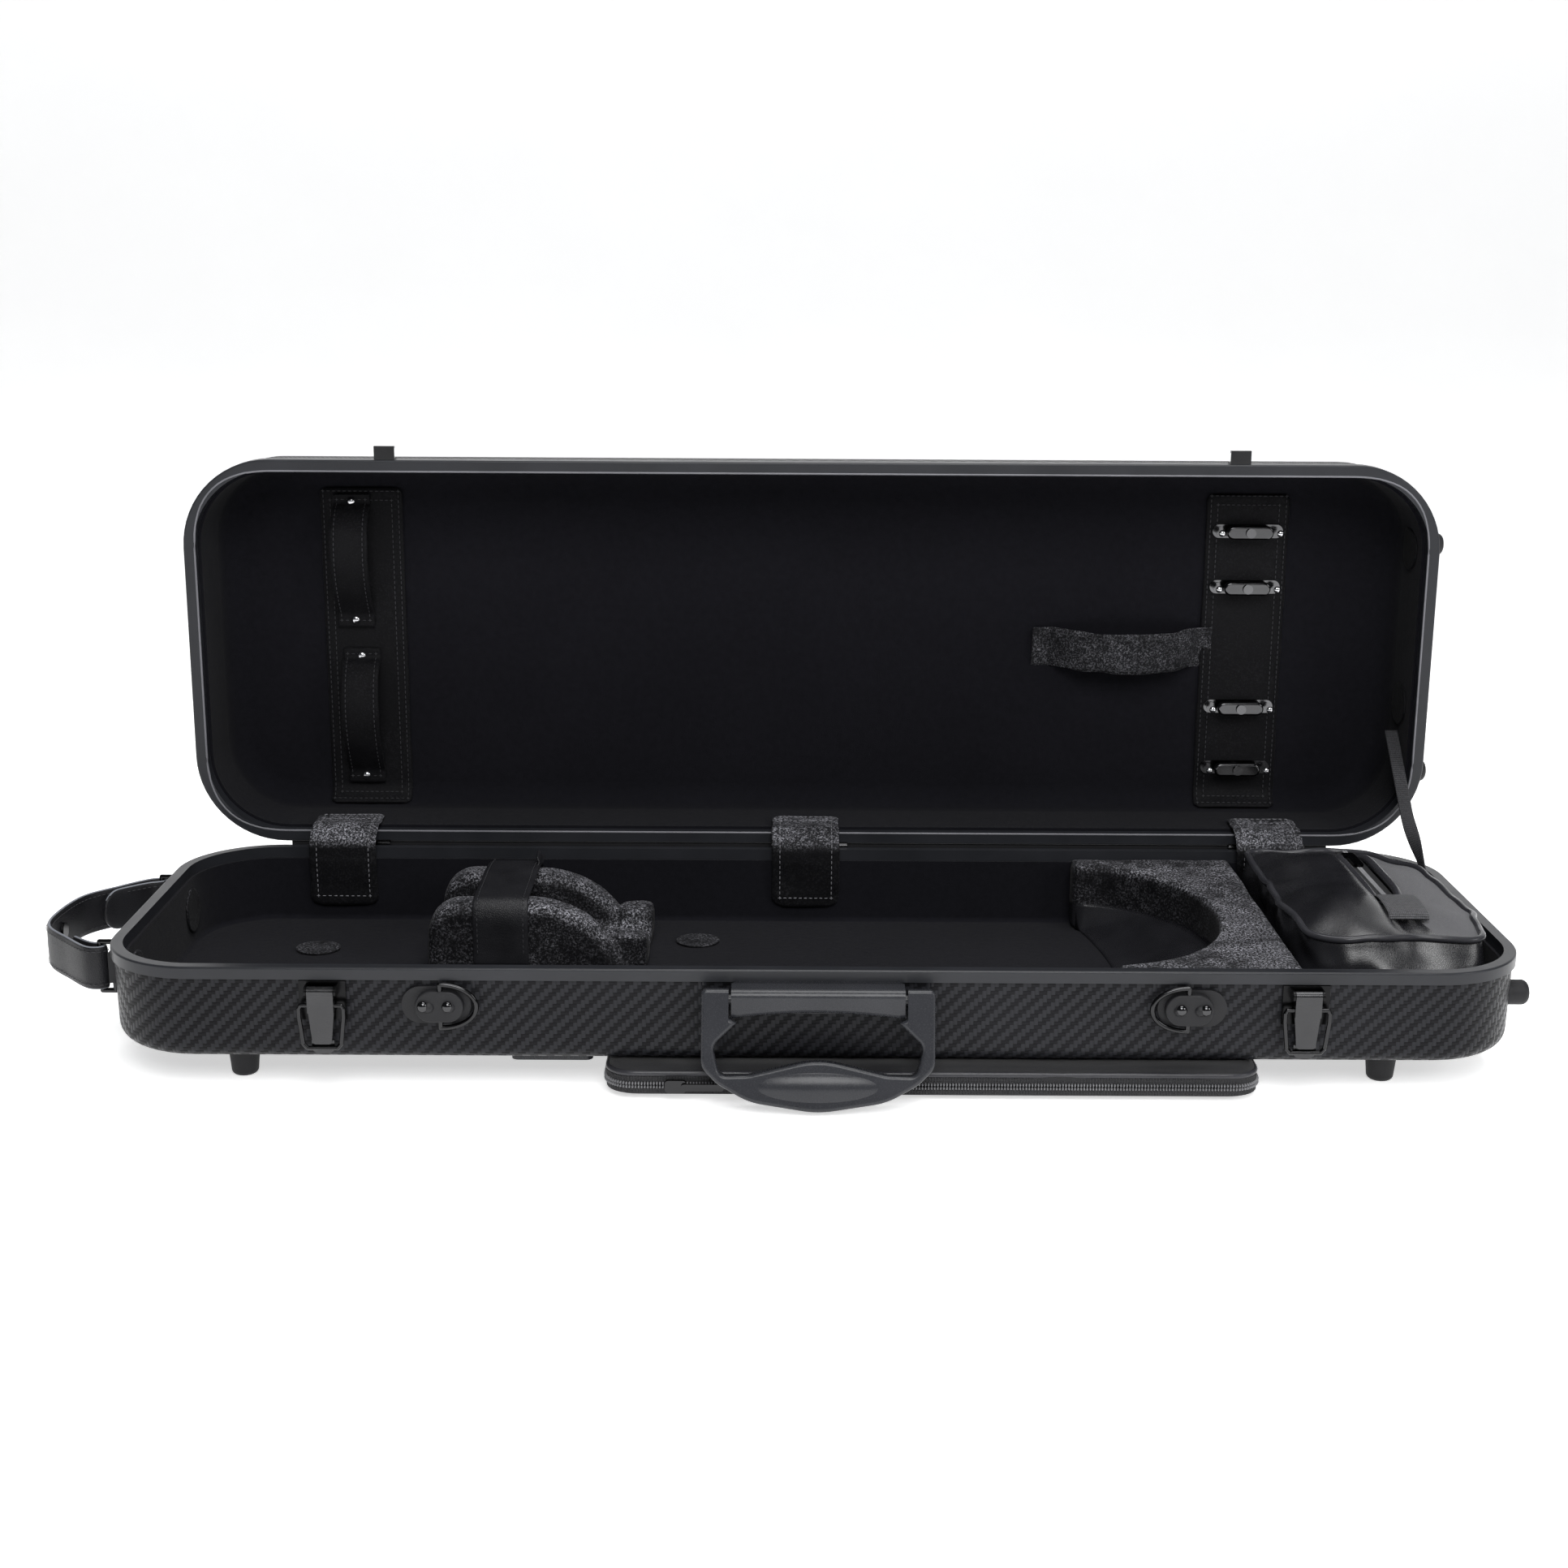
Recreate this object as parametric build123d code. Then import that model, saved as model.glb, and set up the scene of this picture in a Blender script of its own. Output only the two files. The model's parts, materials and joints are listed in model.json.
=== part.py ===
from build123d import *
import math
import os

# Violin case: millimetres, Z up, X along the length, hinges at +Y, lid standing open.

# overall sizes
case_length = 807.0
case_width = 251.5
base_depth = 55.0
lid_depth = 72.0
foot_height = 20.0
corner_radius = 57.0
edge_round = 11.0
lid_round = 24.0
draft = 1.3

# shell build-up
wall = 3.0
felt = 4.0
rim_height = 7.0
lid_rim_height = 10.0
rim_width = 7.0
rim_cap = 1.5
shell_set = 1.5
glue = 0.1
rim_gap = 1.0

# hinges
hinge_offset = 1.2
hinge_spacing = 303.0
hinge_width = 50.0
barrel_radius = 2.2
hinge_pin_radius = 1.1
running = 0.05
leaf_thick = 1.1
knuckles = 5
knuckle_gap = 0.3

# latches
latch_spacing = 272.5
latch_width = 27.0
lever_pivot_drop = 12.0
lever_pivot_out = 5.0
bail_pivot_drop = 8.0
bail_reach = 24.9
bail_wire = 1.2
latch_pin_radius = 1.5
lever_width = 14.5

# carrying rings
ring_spacing = 207.0
ring_drop = 21.0
ring_wire = 1.4
ring_half_height = 12.5
ring_reach = 20.0
ring_plate_length = 38.5
ring_plate_height = 21.5

# handle
handle_width = 128.6
handle_pivot_drop = 14.0
handle_pivot_out = 9.0
handle_reach = 61.0
handle_x = 1.9
handle_thick = 12.0
handle_tilt = 15.0
handle_pin_radius = 3.0
mount_width = 95.6

# feet
foot_radius = 9.4
foot_x = 326.0
foot_y = 92.0
end_foot_y = 76.0
end_foot_drop = 28.0
end_foot_radius = 7.3
end_foot_proud = 9.0

# inside
cradle_left = -236.0
cradle_right = -115.0
lobe_front = case_width / 2 - 121.75
lobe_width = 26.0
neck_width = 40.0
block_left = 172.0
block_right = 276.0
block_drop = 4.0
bag_left = 282.0
bag_front = 29.75 - case_width / 2
bag_back = case_width / 2 - 19.75
bag_rise = 5.0
bow_strip_x = 292.0
bow_strip_width = 55.0
strip_thick = 2.5
spinner_heights = [case_width * share for share in (0.163, 0.332, 0.658, 0.807)]
velvet = 1.6
cover_width = 44.0
cover_places = (("left", -307.0), ("middle", -2.5), ("right", 303.0))

# pouch under the base
pouch_left = -117.0
pouch_right = 250.0
pouch_front = -case_width / 2 - 5.25
pouch_back = case_width / 2 - 17.75
pouch_clear = 1.6

# end strap
strap_width = 26.0
strap_thick = 3.0
strap_reach = 49.0
strap_half = 72.0

rim_z = foot_height + base_depth
floor_z = foot_height + wall + glue + felt
hinge_y = case_width / 2 + hinge_offset
hinge_z = rim_z + rim_gap / 2
front_y = -case_width / 2
lid_face_y = hinge_y + rim_gap / 2
lining_set = shell_set + wall + glue + felt
ceiling_y = lid_face_y + lid_depth - wall - glue - felt
hinge_axis = Axis((0, hinge_y, hinge_z), (1, 0, 0))


def box(x0, x1, y0, y1, z0, z1):
    return Pos((x0 + x1) / 2, (y0 + y1) / 2, (z0 + z1) / 2) * Box(x1 - x0, y1 - y0, z1 - z0)


def plan(inset, z):
    outline = RectangleRounded(
        case_length - 2 * inset, case_width - 2 * inset, corner_radius - inset)
    return Plane.XY.offset(z) * outline


def ring(outer, inner, z0, z1):
    return extrude(plan(outer, z0), z1 - z0) - extrude(plan(inner, z0 - 1), z1 - z0 + 2)


# solid bounded by the outer surface of the base moved in by inset
def base_form(inset, top=rim_z - rim_cap, bottom=foot_height):
    shrink = inset + (rim_z - top) * math.tan(math.radians(draft))
    low = bottom + inset - shell_set
    body = extrude(plan(shrink, top), -(top - low), taper=draft)
    return fillet(body.faces().sort_by(Axis.Z)[0].edges(), max(edge_round - inset, 3))


# the same for the lid, standing closed on the base
def lid_form(inset, low=rim_z + rim_gap + rim_cap):
    shrink = inset + (low - rim_z - rim_gap) * math.tan(math.radians(draft))
    high = rim_z + rim_gap + lid_depth - inset + shell_set
    body = extrude(plan(shrink, low), high - low, taper=draft)
    return fillet(body.faces().sort_by(Axis.Z)[-1].edges(), max(lid_round - inset, 3))


def opened(shape):
    return shape.rotate(hinge_axis, -90)


# round wire through the points
def rod(points, radius, closed=False):
    solid = None
    ends = list(zip(points, points[1:])) + ([(points[-1], points[0])] if closed else [])
    for a, b in ends:
        way = Vector(*b) - Vector(*a)
        piece = Plane(origin=a, z_dir=way) * Cylinder(
            radius, way.length, align=(Align.CENTER, Align.CENTER, Align.MIN))
        solid = piece if solid is None else solid + piece
    for p in points if closed else points[1:-1]:
        solid += Pos(*p) * Sphere(radius)
    return solid


def wire_loop(path, radius):
    return sweep(Plane(origin=path @ 0, z_dir=path % 0) * Circle(radius), path)


def cylinder(origin, way, radius, length):
    return Plane(origin=origin, z_dir=way) * Cylinder(
        radius, length, align=(Align.CENTER, Align.CENTER, Align.MIN))


# flat strap: a smooth path on the plane, thickened and extruded both ways
def band(plane, points, thick, width):
    path = Spline(*points)
    count = 28
    sides = ([], [])
    for i in range(count + 1):
        p, t = path @ (i / count), path % (i / count)
        for side, sign in zip(sides, (1, -1)):
            side.append((p.X - sign * t.Y * thick / 2, p.Y + sign * t.X * thick / 2))
    edges = [Spline(*sides[0]), Line(sides[0][-1], sides[1][-1]),
             Spline(*sides[1]), Line(sides[0][0], sides[1][0])]
    return extrude(plane * make_face(edges), width / 2, both=True)


def outline(points, radii):
    face = make_face(Polyline(*points, close=True))
    for (x, y), radius in zip(points, radii):
        if radius:
            corner = [v for v in face.vertices() if math.hypot(v.X - x, v.Y - y) < 0.01]
            face = fillet(corner, radius)
    return face


parts = {}
base_outside = base_form(shell_set - glue)
base_hollow = base_form(lining_set, rim_z)
lid_outside = opened(lid_form(shell_set - glue))
front = Plane(origin=(0, front_y, 0), x_dir=(1, 0, 0), z_dir=(0, -1, 0))
across = Plane(origin=(0, 0, 0), x_dir=(0, 1, 0), z_dir=(1, 0, 0))


# shells, rims and linings
def build_shells():
    parts["base_shell"] = base_form(shell_set) - base_form(shell_set + wall, rim_z)
    rim = ring(0, rim_width, rim_z - rim_height, rim_z)
    rim = fillet(rim.faces().sort_by(Axis.Z)[-1].outer_wire().edges(), 1.2)
    slot = ring(shell_set - glue, shell_set + wall + 0.3, rim_z - rim_height - 1,
                rim_z - rim_cap + glue)
    grooves = [cylinder((x - hinge_width / 2 - 0.4, hinge_y, hinge_z), (1, 0, 0),
                        barrel_radius + 0.3, hinge_width + 0.8)
               for x in (-hinge_spacing, 0, hinge_spacing)]
    parts["base_rim"] = rim - slot - grooves
    felt_top = rim_z - rim_height - glue
    felt_out = base_form(shell_set + wall + glue, felt_top)
    parts["base_lining"] = felt_out - base_hollow

    parts["lid_shell"] = opened(
        lid_form(shell_set) - lid_form(shell_set + wall, rim_z + rim_gap))
    low = rim_z + rim_gap
    rim = ring(0, rim_width, low, low + lid_rim_height)
    rim = fillet(rim.faces().sort_by(Axis.Z)[0].outer_wire().edges(), 1.2)
    slot = ring(shell_set - glue, shell_set + wall + 0.4, low + rim_cap - glue,
                low + lid_rim_height + 1)
    parts["lid_rim"] = opened(rim - slot - grooves)
    felt_low = low + lid_rim_height + glue
    parts["lid_lining"] = opened(
        lid_form(shell_set + wall + glue, felt_low) - lid_form(lining_set, low))


# three butt hinges with their pins fixed in the base leaves
def build_hinges():
    segment = hinge_width / knuckles
    leaves = {0: None, 1: None}
    for x in (-hinge_spacing, 0, hinge_spacing):
        for which in (0, 1):
            sign = 1 if which else -1
            root = rim_gap / 2 + (0.2 if which else 0.5)
            tall = lid_rim_height - 0.5 if which else rim_height - 0.5
            leaf = box(x - hinge_width / 2, x + hinge_width / 2,
                       case_width / 2 + glue, case_width / 2 + glue + leaf_thick,
                       *sorted((hinge_z + sign * root, hinge_z + sign * tall)))
            for i in range(1 - which, knuckles, 2):
                x0 = x - hinge_width / 2 + i * segment
                leaf -= cylinder((x0, hinge_y, hinge_z), (1, 0, 0), barrel_radius + 0.15, segment)
            for i in range(which, knuckles, 2):
                x0 = x - hinge_width / 2 + i * segment + knuckle_gap / 2
                wide = segment - knuckle_gap
                leaf += cylinder((x0, hinge_y, hinge_z), (1, 0, 0), barrel_radius, wide)
                leaf += box(x0, x0 + wide, case_width / 2 + glue, hinge_y,
                            *sorted((hinge_z + sign * root, hinge_z + sign * barrel_radius)))
            start = x - hinge_width / 2
            radius = hinge_pin_radius + (running if which else 0)
            pin = cylinder((start, hinge_y, hinge_z), (1, 0, 0), radius, hinge_width)
            leaf = leaf - pin if which else leaf + pin
            leaves[which] = leaf if leaves[which] is None else leaves[which] + leaf
    parts["hinge_leaves_base"] = leaves[0]
    parts["hinge_leaves_lid"] = opened(leaves[1])


# feet under the base and on the right end wall
def build_feet():
    feet = None
    for x in (-foot_x, foot_x):
        for y in (-foot_y, foot_y):
            foot = Cone(foot_radius - 2, foot_radius, foot_height - glue,
                        align=(Align.CENTER, Align.CENTER, Align.MIN))
            foot = Pos(x, y, 0) * fillet(foot.edges().sort_by(Axis.Z)[0], 3)
            feet = foot if feet is None else feet + foot
    parts["base_feet"] = feet
    end_base, end_lid = None, None
    for y in (-end_foot_y, end_foot_y):
        for upper in (0, 1):
            z = hinge_z + end_foot_drop if upper else rim_z - end_foot_drop
            foot = cylinder((case_length / 2 - 12, y + 4 * upper, z), (1, 0, 0), end_foot_radius,
                            12 + end_foot_proud)
            foot = fillet(foot.edges().filter_by(GeomType.CIRCLE).sort_by(Axis.X)[-1], 4)
            if upper:
                foot = opened(foot) - lid_outside
                end_lid = foot if end_lid is None else end_lid + foot
            else:
                foot = foot - base_outside
                end_base = foot if end_base is None else end_base + foot
    parts["end_feet_base"] = end_base
    parts["end_feet_lid"] = end_lid


# over-centre latches: bracket, lever, wire bail, and the keeper on the lid rim
def build_latches():
    z = rim_z - lever_pivot_drop
    y = front_y - lever_pivot_out
    half = lever_width / 2
    bail_y = y - 0.5
    bail_z = z - bail_pivot_drop
    for name, x in (("left", -latch_spacing), ("right", latch_spacing)):
        bracket = box(x - 13, x + 13, front_y - 0.4, front_y + 6, rim_z - 30, rim_z - rim_height - 0.5)
        bracket = bracket - base_outside
        for sign in (-1, 1):
            ear = box(x - 0.6, x + 0.6, y, front_y + 0.6, z - 3, z + 3)
            ear += cylinder((x - 0.6, y, z), (1, 0, 0), 3, 1.2)
            bracket += Pos(sign * (half + 0.9), 0, 0) * ear
        bracket += cylinder((x - half - 1, y, z), (1, 0, 0), latch_pin_radius, lever_width + 2)
        parts["latch_bracket_" + name] = bracket

        lever = cylinder((x - half, y, z), (1, 0, 0), 3, lever_width)
        lever += box(x - half, x + half, y - 2.5, y + 2.5, bail_z - 4, z)
        face = outline([(-half, 0), (half, 0), (half - 2, -19.6), (-half + 2, -19.6)], (1, 1, 2, 2))
        plate = Plane(origin=(x, y + 1.5, bail_z - 3), x_dir=(1, 0, 0), z_dir=(0, -1, 0)) * face
        lever += extrude(plate, 2.6)
        tab = outline([(-half + 1, -18), (half - 1, -18), (half - 1, -26), (-half + 1, -26)],
                      (0, 0, 4, 4))
        plate = Plane(origin=(x, y + 3.2, bail_z - 3), x_dir=(1, 0, 0), z_dir=(0, -1, 0)) * tab
        lever += extrude(plate, 1.9)
        lever -= cylinder((x - half - 1, y, z), (1, 0, 0), latch_pin_radius + running, lever_width + 2)
        lever -= cylinder((x - half - 1, bail_y, bail_z), (1, 0, 0), bail_wire + running, lever_width + 2)
        parts["latch_lever_" + name] = lever

        wide = latch_width / 2 - bail_wire
        low = bail_z - bail_reach
        parts["latch_bail_" + name] = rod([
            (x - half + 3.5, bail_y, bail_z), (x - wide + 1, bail_y, bail_z),
            (x - wide, bail_y, bail_z - 2), (x - wide, bail_y, bail_z - 7),
            (x - wide + 1.8, bail_y, low + 2.5), (x - wide + 4, bail_y, low),
            (x + wide - 4, bail_y, low), (x + wide - 1.8, bail_y, low + 2.5),
            (x + wide, bail_y, bail_z - 7), (x + wide, bail_y, bail_z - 2),
            (x + wide - 1, bail_y, bail_z), (x + half - 3.5, bail_y, bail_z)], bail_wire)

        seat = bail_z + bail_reach - bail_wire - 0.4
        keeper = box(x - 6.5, x + 6.5, front_y - 1.4, front_y - glue, seat - 1.4, rim_z + rim_gap + 9.5)
        keeper += box(x - 6.5, x + 6.5, bail_y - bail_wire - 2, front_y - glue, seat - 1.4, seat)
        keeper += box(x - 6.5, x + 6.5, bail_y - bail_wire - 2, bail_y - bail_wire - 0.4,
                      seat - 1.4, seat + 2.4)
        parts["keeper_" + name] = opened(keeper)


# D-rings that swing on upright bars in stadium plates
def build_rings():
    z = rim_z - ring_drop
    y = front_y - 3.2
    for name, side in (("left", -1), ("right", 1)):
        bar = side * ring_spacing
        middle = side * (ring_spacing + 2.5)
        centre = side * (ring_spacing + 0.5)
        plate = extrude(Pos(middle, z) * SlotOverall(ring_plate_length, ring_plate_height), 0.8)
        plate += extrude(Pos(middle, z) * SlotOverall(ring_plate_length, ring_plate_height), -6)
        plate = front * plate - base_outside
        raised = extrude(Pos(centre, z) * SlotOverall(27, 18), 5.4)
        plate += front * fillet(raised.faces().sort_by(Axis.Z)[-1].edges(), 1)
        for sign in (-1, 1):
            dome = Pos(centre + sign * 5.8, front_y - 4.2, z) * Sphere(3.4)
            plate += dome - box(-600, 600, front_y - 4.3, 0, 0, rim_z)
        plate -= cylinder((bar, y, z - 20), (0, 0, 1), ring_wire + running, 40)
        parts["ring_plate_" + name] = plate
        arc = EllipticalCenterArc((bar, 0), ring_reach, ring_half_height,
                                  start_angle=-90 if side < 0 else 90, arc_size=180)
        flat = Plane(origin=(0, y, z), x_dir=(1, 0, 0), z_dir=(0, -1, 0))
        loop = flat * arc
        wire = wire_loop(loop, ring_wire)
        wire += cylinder((bar, y, z - ring_half_height), (0, 0, 1), ring_wire, 2 * ring_half_height)
        for sign in (-1, 1):
            wire += Pos(bar, y, z + sign * ring_half_height) * Sphere(ring_wire)
        parts["carry_ring_" + name] = wire


# folding handle and the mount that carries its pin
def build_handle():
    z = rim_z - handle_pivot_drop
    y = front_y - handle_pivot_out
    half = mount_width / 2
    face = outline([(-half, -11), (half, -11), (half, 7.5), (-half, 7.5)], (4, 4, 3, 3))
    mount = Plane(origin=(0, front_y + 4, z), x_dir=(1, 0, 0), z_dir=(0, -1, 0)) * extrude(face, 4.6)
    mount = mount - base_outside - box(-60, 60, front_y - glue, front_y + 8, rim_z - rim_height - glue, rim_z)
    edges = [Line((-half, 6.6), (half, 6.6)), Line((half, 6.6), (half, -10.5)),
             ThreePointArc((half, -10.5), (0, -7), (-half, -10.5)), Line((-half, -10.5), (-half, 6.6))]
    lug = Plane(origin=(0, front_y - 0.2, z), x_dir=(1, 0, 0), z_dir=(0, -1, 0)) * make_face(edges)
    lug = extrude(lug, handle_pivot_out + 5)
    lug = fillet(lug.faces().sort_by(Axis.Y)[0].edges().filter_by(
        lambda e: abs(e.bounding_box().size.X) > 40), 4.5)
    mount += lug
    reach = handle_width / 2 - 3
    mount += cylinder((-reach, y, z), (1, 0, 0), handle_pin_radius, 2 * reach)
    parts["handle_mount"] = Pos(handle_x, 0, 0) * mount

    w = handle_width / 2
    inner = half + 1.4
    outer = outline([(-w, 6), (w, 6), (w, -37), (w - 9, -46), (38, -56), (0, -handle_reach - 1),
                     (-38, -56), (-w + 9, -46), (-w, -37)], (3, 3, 10, 14, 40, 60, 40, 14, 10))
    window = outline([(-inner, 9), (inner, 9), (inner, -10), (44.5, -12.4), (58, -25),
                      (54, -41.5), (38, -41), (0, -32), (-38, -41), (-54, -41.5), (-58, -25),
                      (-44.5, -12.4), (-inner, -10)],
                     (0, 0, 0, 0.6, 7, 5, 18, 50, 18, 5, 7, 0.6, 0))
    flat = Plane(origin=(0, y, z), x_dir=(1, 0, 0), z_dir=(0, -1, 0))
    grip = flat * extrude(outer - window, handle_thick / 2, both=True)
    rims = [e for e in grip.edges() if abs(e.center().Y - y) > handle_thick / 2 - 0.1
            and e.center().Z < z - 14]
    grip = fillet(rims, 2)
    swell = scale(Sphere(1), by=(46, 8.6, 11.5))
    grip += Pos(0, y, z - 47.6) * swell
    grip -= cylinder((-w - 1, y, z), (1, 0, 0), handle_pin_radius + running, 2 * w + 2)
    pivot = Axis((0, y, z), (1, 0, 0))
    parts["handle_grip"] = Pos(handle_x, 0, 0) * grip.rotate(pivot, -handle_tilt)


# neck cradle with its strap, and the block that holds the lower end of the violin
def build_cradle():
    top = rim_z - block_drop
    low = floor_z + glue
    curve = [Line((cradle_left, low), (cradle_left, top - 20)),
             ThreePointArc((cradle_left, top - 20), (cradle_left + 6, top - 6), (cradle_left + 20, top)),
             Line((cradle_left + 20, top), (cradle_right - 56, top)),
             ThreePointArc((cradle_right - 56, top), (cradle_right - 18, top - 15), (cradle_right, low)),
             Line((cradle_right, low), (cradle_left, low))]
    side = Plane(origin=(0, 0, 0), x_dir=(1, 0, 0), z_dir=(0, -1, 0))
    profile = side * make_face(curve)
    rear = lobe_front + lobe_width + neck_width
    cradle = None
    for y in (lobe_front, rear):
        lobe = Pos(0, y + lobe_width, 0) * extrude(profile, lobe_width)
        sharp = [e for e in lobe.edges() if e.center().Z > low + 6
                 and abs(abs(e.center().Y - y - lobe_width / 2) - lobe_width / 2) < 0.1]
        lobe = fillet(sharp, 7)
        cradle = lobe if cradle is None else cradle + lobe
    middle = lobe_front + lobe_width + neck_width / 2
    trough = box(cradle_left + 10, cradle_right + 2, lobe_front + 8, rear + lobe_width - 8, low, low + 10)
    saddle = box(cradle_right - 6, cradle_right + 14, middle - 38, middle + 38, low, low + 22)
    saddle = fillet(saddle.edges().filter_by(Axis.Z), 4)
    trough = trough + saddle - cylinder((cradle_left - 5, middle, low + 26), (1, 0, 0), 19, 150)
    parts["neck_cradle"] = cradle + trough

    x0 = cradle_left + 29
    strap_x = x0 + 17
    t = 2.0
    front_face = lobe_front - 0.3 - t / 2
    rear_face = rear + lobe_width + 0.3 + t / 2
    over = top + 0.4 + t / 2
    path = [(front_face, low + 12), (front_face - 0.4, top - 12), (lobe_front + 1.5, over - 1.2),
            (middle - 20, over + 1.5), (middle, over + 1.5), (middle + 20, over + 1.5),
            (rear_face - 2.8, over - 1.2), (rear_face + 0.4, top - 12), (rear_face, low + 22)]
    parts["neck_strap"] = Pos(strap_x, 0, 0) * band(across, path, t, 34)

    half = case_width / 2
    block = base_form(lining_set + 0.3, rim_z) & box(block_left, block_right, -half, half, low, top)
    hole = extrude(Plane.XY.offset(low - 1) * Pos(block_left - 6, 0) * Ellipse(80, 99), top - low + 2)
    block = block - hole
    block = fillet(block.faces().sort_by(Axis.Z)[-1].edges(), 3)
    parts["end_block"] = block


# accessory bag with its zip, slider and pull tab
def build_bag():
    top = rim_z + bag_rise
    low = floor_z + 0.3
    body = base_form(lining_set + 3.6, top) & box(
        bag_left, case_length, bag_front, bag_back, low, top + 1)
    cut = Plane.XY.offset(low - 1) * make_face(Polyline(
        (bag_left - 1, -30), (bag_left - 1, bag_front - 1), (bag_left + 14, bag_front - 1), close=True))
    body = body - extrude(cut, top)
    body = body - box(330, 390, bag_front - 1, bag_front + 8, low - 1, top + 1)
    body = fillet(body.faces().sort_by(Axis.Z)[-1].edges(), 3)
    zip_x = (bag_left + case_length / 2) / 2 + 5
    y0, y1 = -6.0, 96.0
    groove = box(zip_x - 5.5, zip_x + 5.5, y0 - 3, y1 + 3, top - 2.5, top + 1)
    parts["accessory_bag"] = body - groove
    tape = box(zip_x - 5.2, zip_x + 5.2, y0 - 2, y1 + 2, top - 2.3, top - 1.3)
    tape += box(zip_x - 1.6, zip_x + 1.6, y0, y1, top - 1.4, top - 0.5)
    parts["bag_zip"] = tape
    slider = box(zip_x - 4, zip_x + 4, y1 - 14, y1 - 3, top - 0.2, top + 2.2)
    slider = fillet(slider.edges().filter_by(Axis.Z), 2)
    pull = box(zip_x - 3, zip_x + 3, y1 - 36, y1 - 10, top + 2.1, top + 3.5)
    parts["bag_slider"] = slider + fillet(pull.edges().filter_by(Axis.Z), 2.5)
    tab = box(zip_x - 11, zip_x + 11, y0 - 46, y0 - 4, top + 0.3, top + 2.3)
    tab += box(zip_x - 9, zip_x + 13, y0 - 46, y0 - 14, top + 2.2, top + 4.2)
    parts["bag_pull_tab"] = tab


# velvet patches pressed on the felt
def build_patches():
    floor = None
    for x, y in ((-312.0, 50.0), (-72.0, 69.0)):
        disc = extrude(Plane.XY.offset(floor_z + glue) * Pos(x, y) * Ellipse(14, 13), velvet)
        floor = disc if floor is None else floor + disc
    parts["floor_patches"] = floor
    skin = base_form(lining_set + glue, rim_z) - base_form(lining_set + glue + velvet, rim_z + 1)
    side = None
    for y in (-62.0, 62.0):
        way = cylinder((-case_length / 2 + 40, y, rim_z - 26), (-1, 0, 0), 14, 60)
        side = skin & way if side is None else side + (skin & way)
    parts["wall_patches"] = side
    skin = opened(lid_form(lining_set + glue, rim_z + rim_gap)
                  - lid_form(lining_set + glue + velvet, rim_z + rim_gap - 1))
    side = None
    for z in (0.366 * case_width, 0.779 * case_width):
        way = cylinder((case_length / 2 - 40, ceiling_y - 33, rim_z + z), (1, 0, 0), 14, 60)
        side = skin & way if side is None else side + (skin & way)
    parts["lid_patches"] = side


# bow holders in the lid: velvet strips, tip loops and turning spinners
def build_bows():
    skin = opened(lid_form(lining_set + glue, rim_z + rim_gap)
                  - lid_form(lining_set + glue + strip_thick, rim_z + rim_gap - 1))
    half = bow_strip_width / 2
    for name, x, low, high in (("left", -bow_strip_x - 8, 0.08, 0.912),
                               ("right", bow_strip_x, 0.08, 0.906)):
        parts["bow_strip_" + name] = skin & box(
            x - half, x + half, hinge_y + 30, 300, rim_z + low * case_width, rim_z + high * case_width)
    face = ceiling_y - glue - strip_thick
    for name, x, low, high, out in (("lower", -303.0, 0.159, 0.445, 16.0),
                                    ("upper", -306.0, 0.588, 0.859, 18.0)):
        a, b = rim_z + low * case_width, rim_z + high * case_width
        y, tall = face - 1.7, b - a
        path = [(y, a), (y - out * 0.6, a + tall * 0.2), (y - out, a + tall * 0.52),
                (y - out * 0.6, b - tall * 0.18), (y, b)]
        parts["tip_loop_" + name] = Pos(x, 0, 0) * band(across, path, 2, 25)
    plates = None
    for i, height in enumerate(spinner_heights):
        z, x = rim_z + height, bow_strip_x
        y = face - 0.15
        plate = Plane(origin=(x, y, z), x_dir=(1, 0, 0), z_dir=(0, -1, 0)) * extrude(
            SlotOverall(47, 9), 1.6)
        for sign in (-1, 1):
            plate += cylinder((x + sign * 18.5, y - 1.5, z), (0, -1, 0), 3, 1.2)
        plate += cylinder((x, y, z), (0, -1, 0), 2, 13.6)
        plate += cylinder((x, y - 12.4, z), (0, -1, 0), 3.2, 1.4)
        plates = plate if plates is None else plates + plate
        pad = Plane(origin=(x, y - 8.4, z), x_dir=(1, 0, 0), z_dir=(0, -1, 0)) * extrude(
            SlotOverall(31, 9), 3.6)
        pad = fillet(pad.faces().sort_by(Axis.Y)[0].edges(), 1.5)
        pad += cylinder((x, y - 2, z), (0, -1, 0), 3.6, 7)
        pad -= cylinder((x, y - 1, z), (0, -1, 0), 2 + running, 14)
        parts["bow_toggle_%d" % (i + 1)] = pad
    parts["spinner_plates"] = plates
    y = ceiling_y - 1.8
    path = [(162.0, y), (182.0, y - 14), (212.0, y - 21), (242.0, y - 14), (262.0, y)]
    parts["lid_loop"] = Pos(0, 0, rim_z + 0.493 * case_width) * band(Plane.XY, path, 2, 21)


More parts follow.
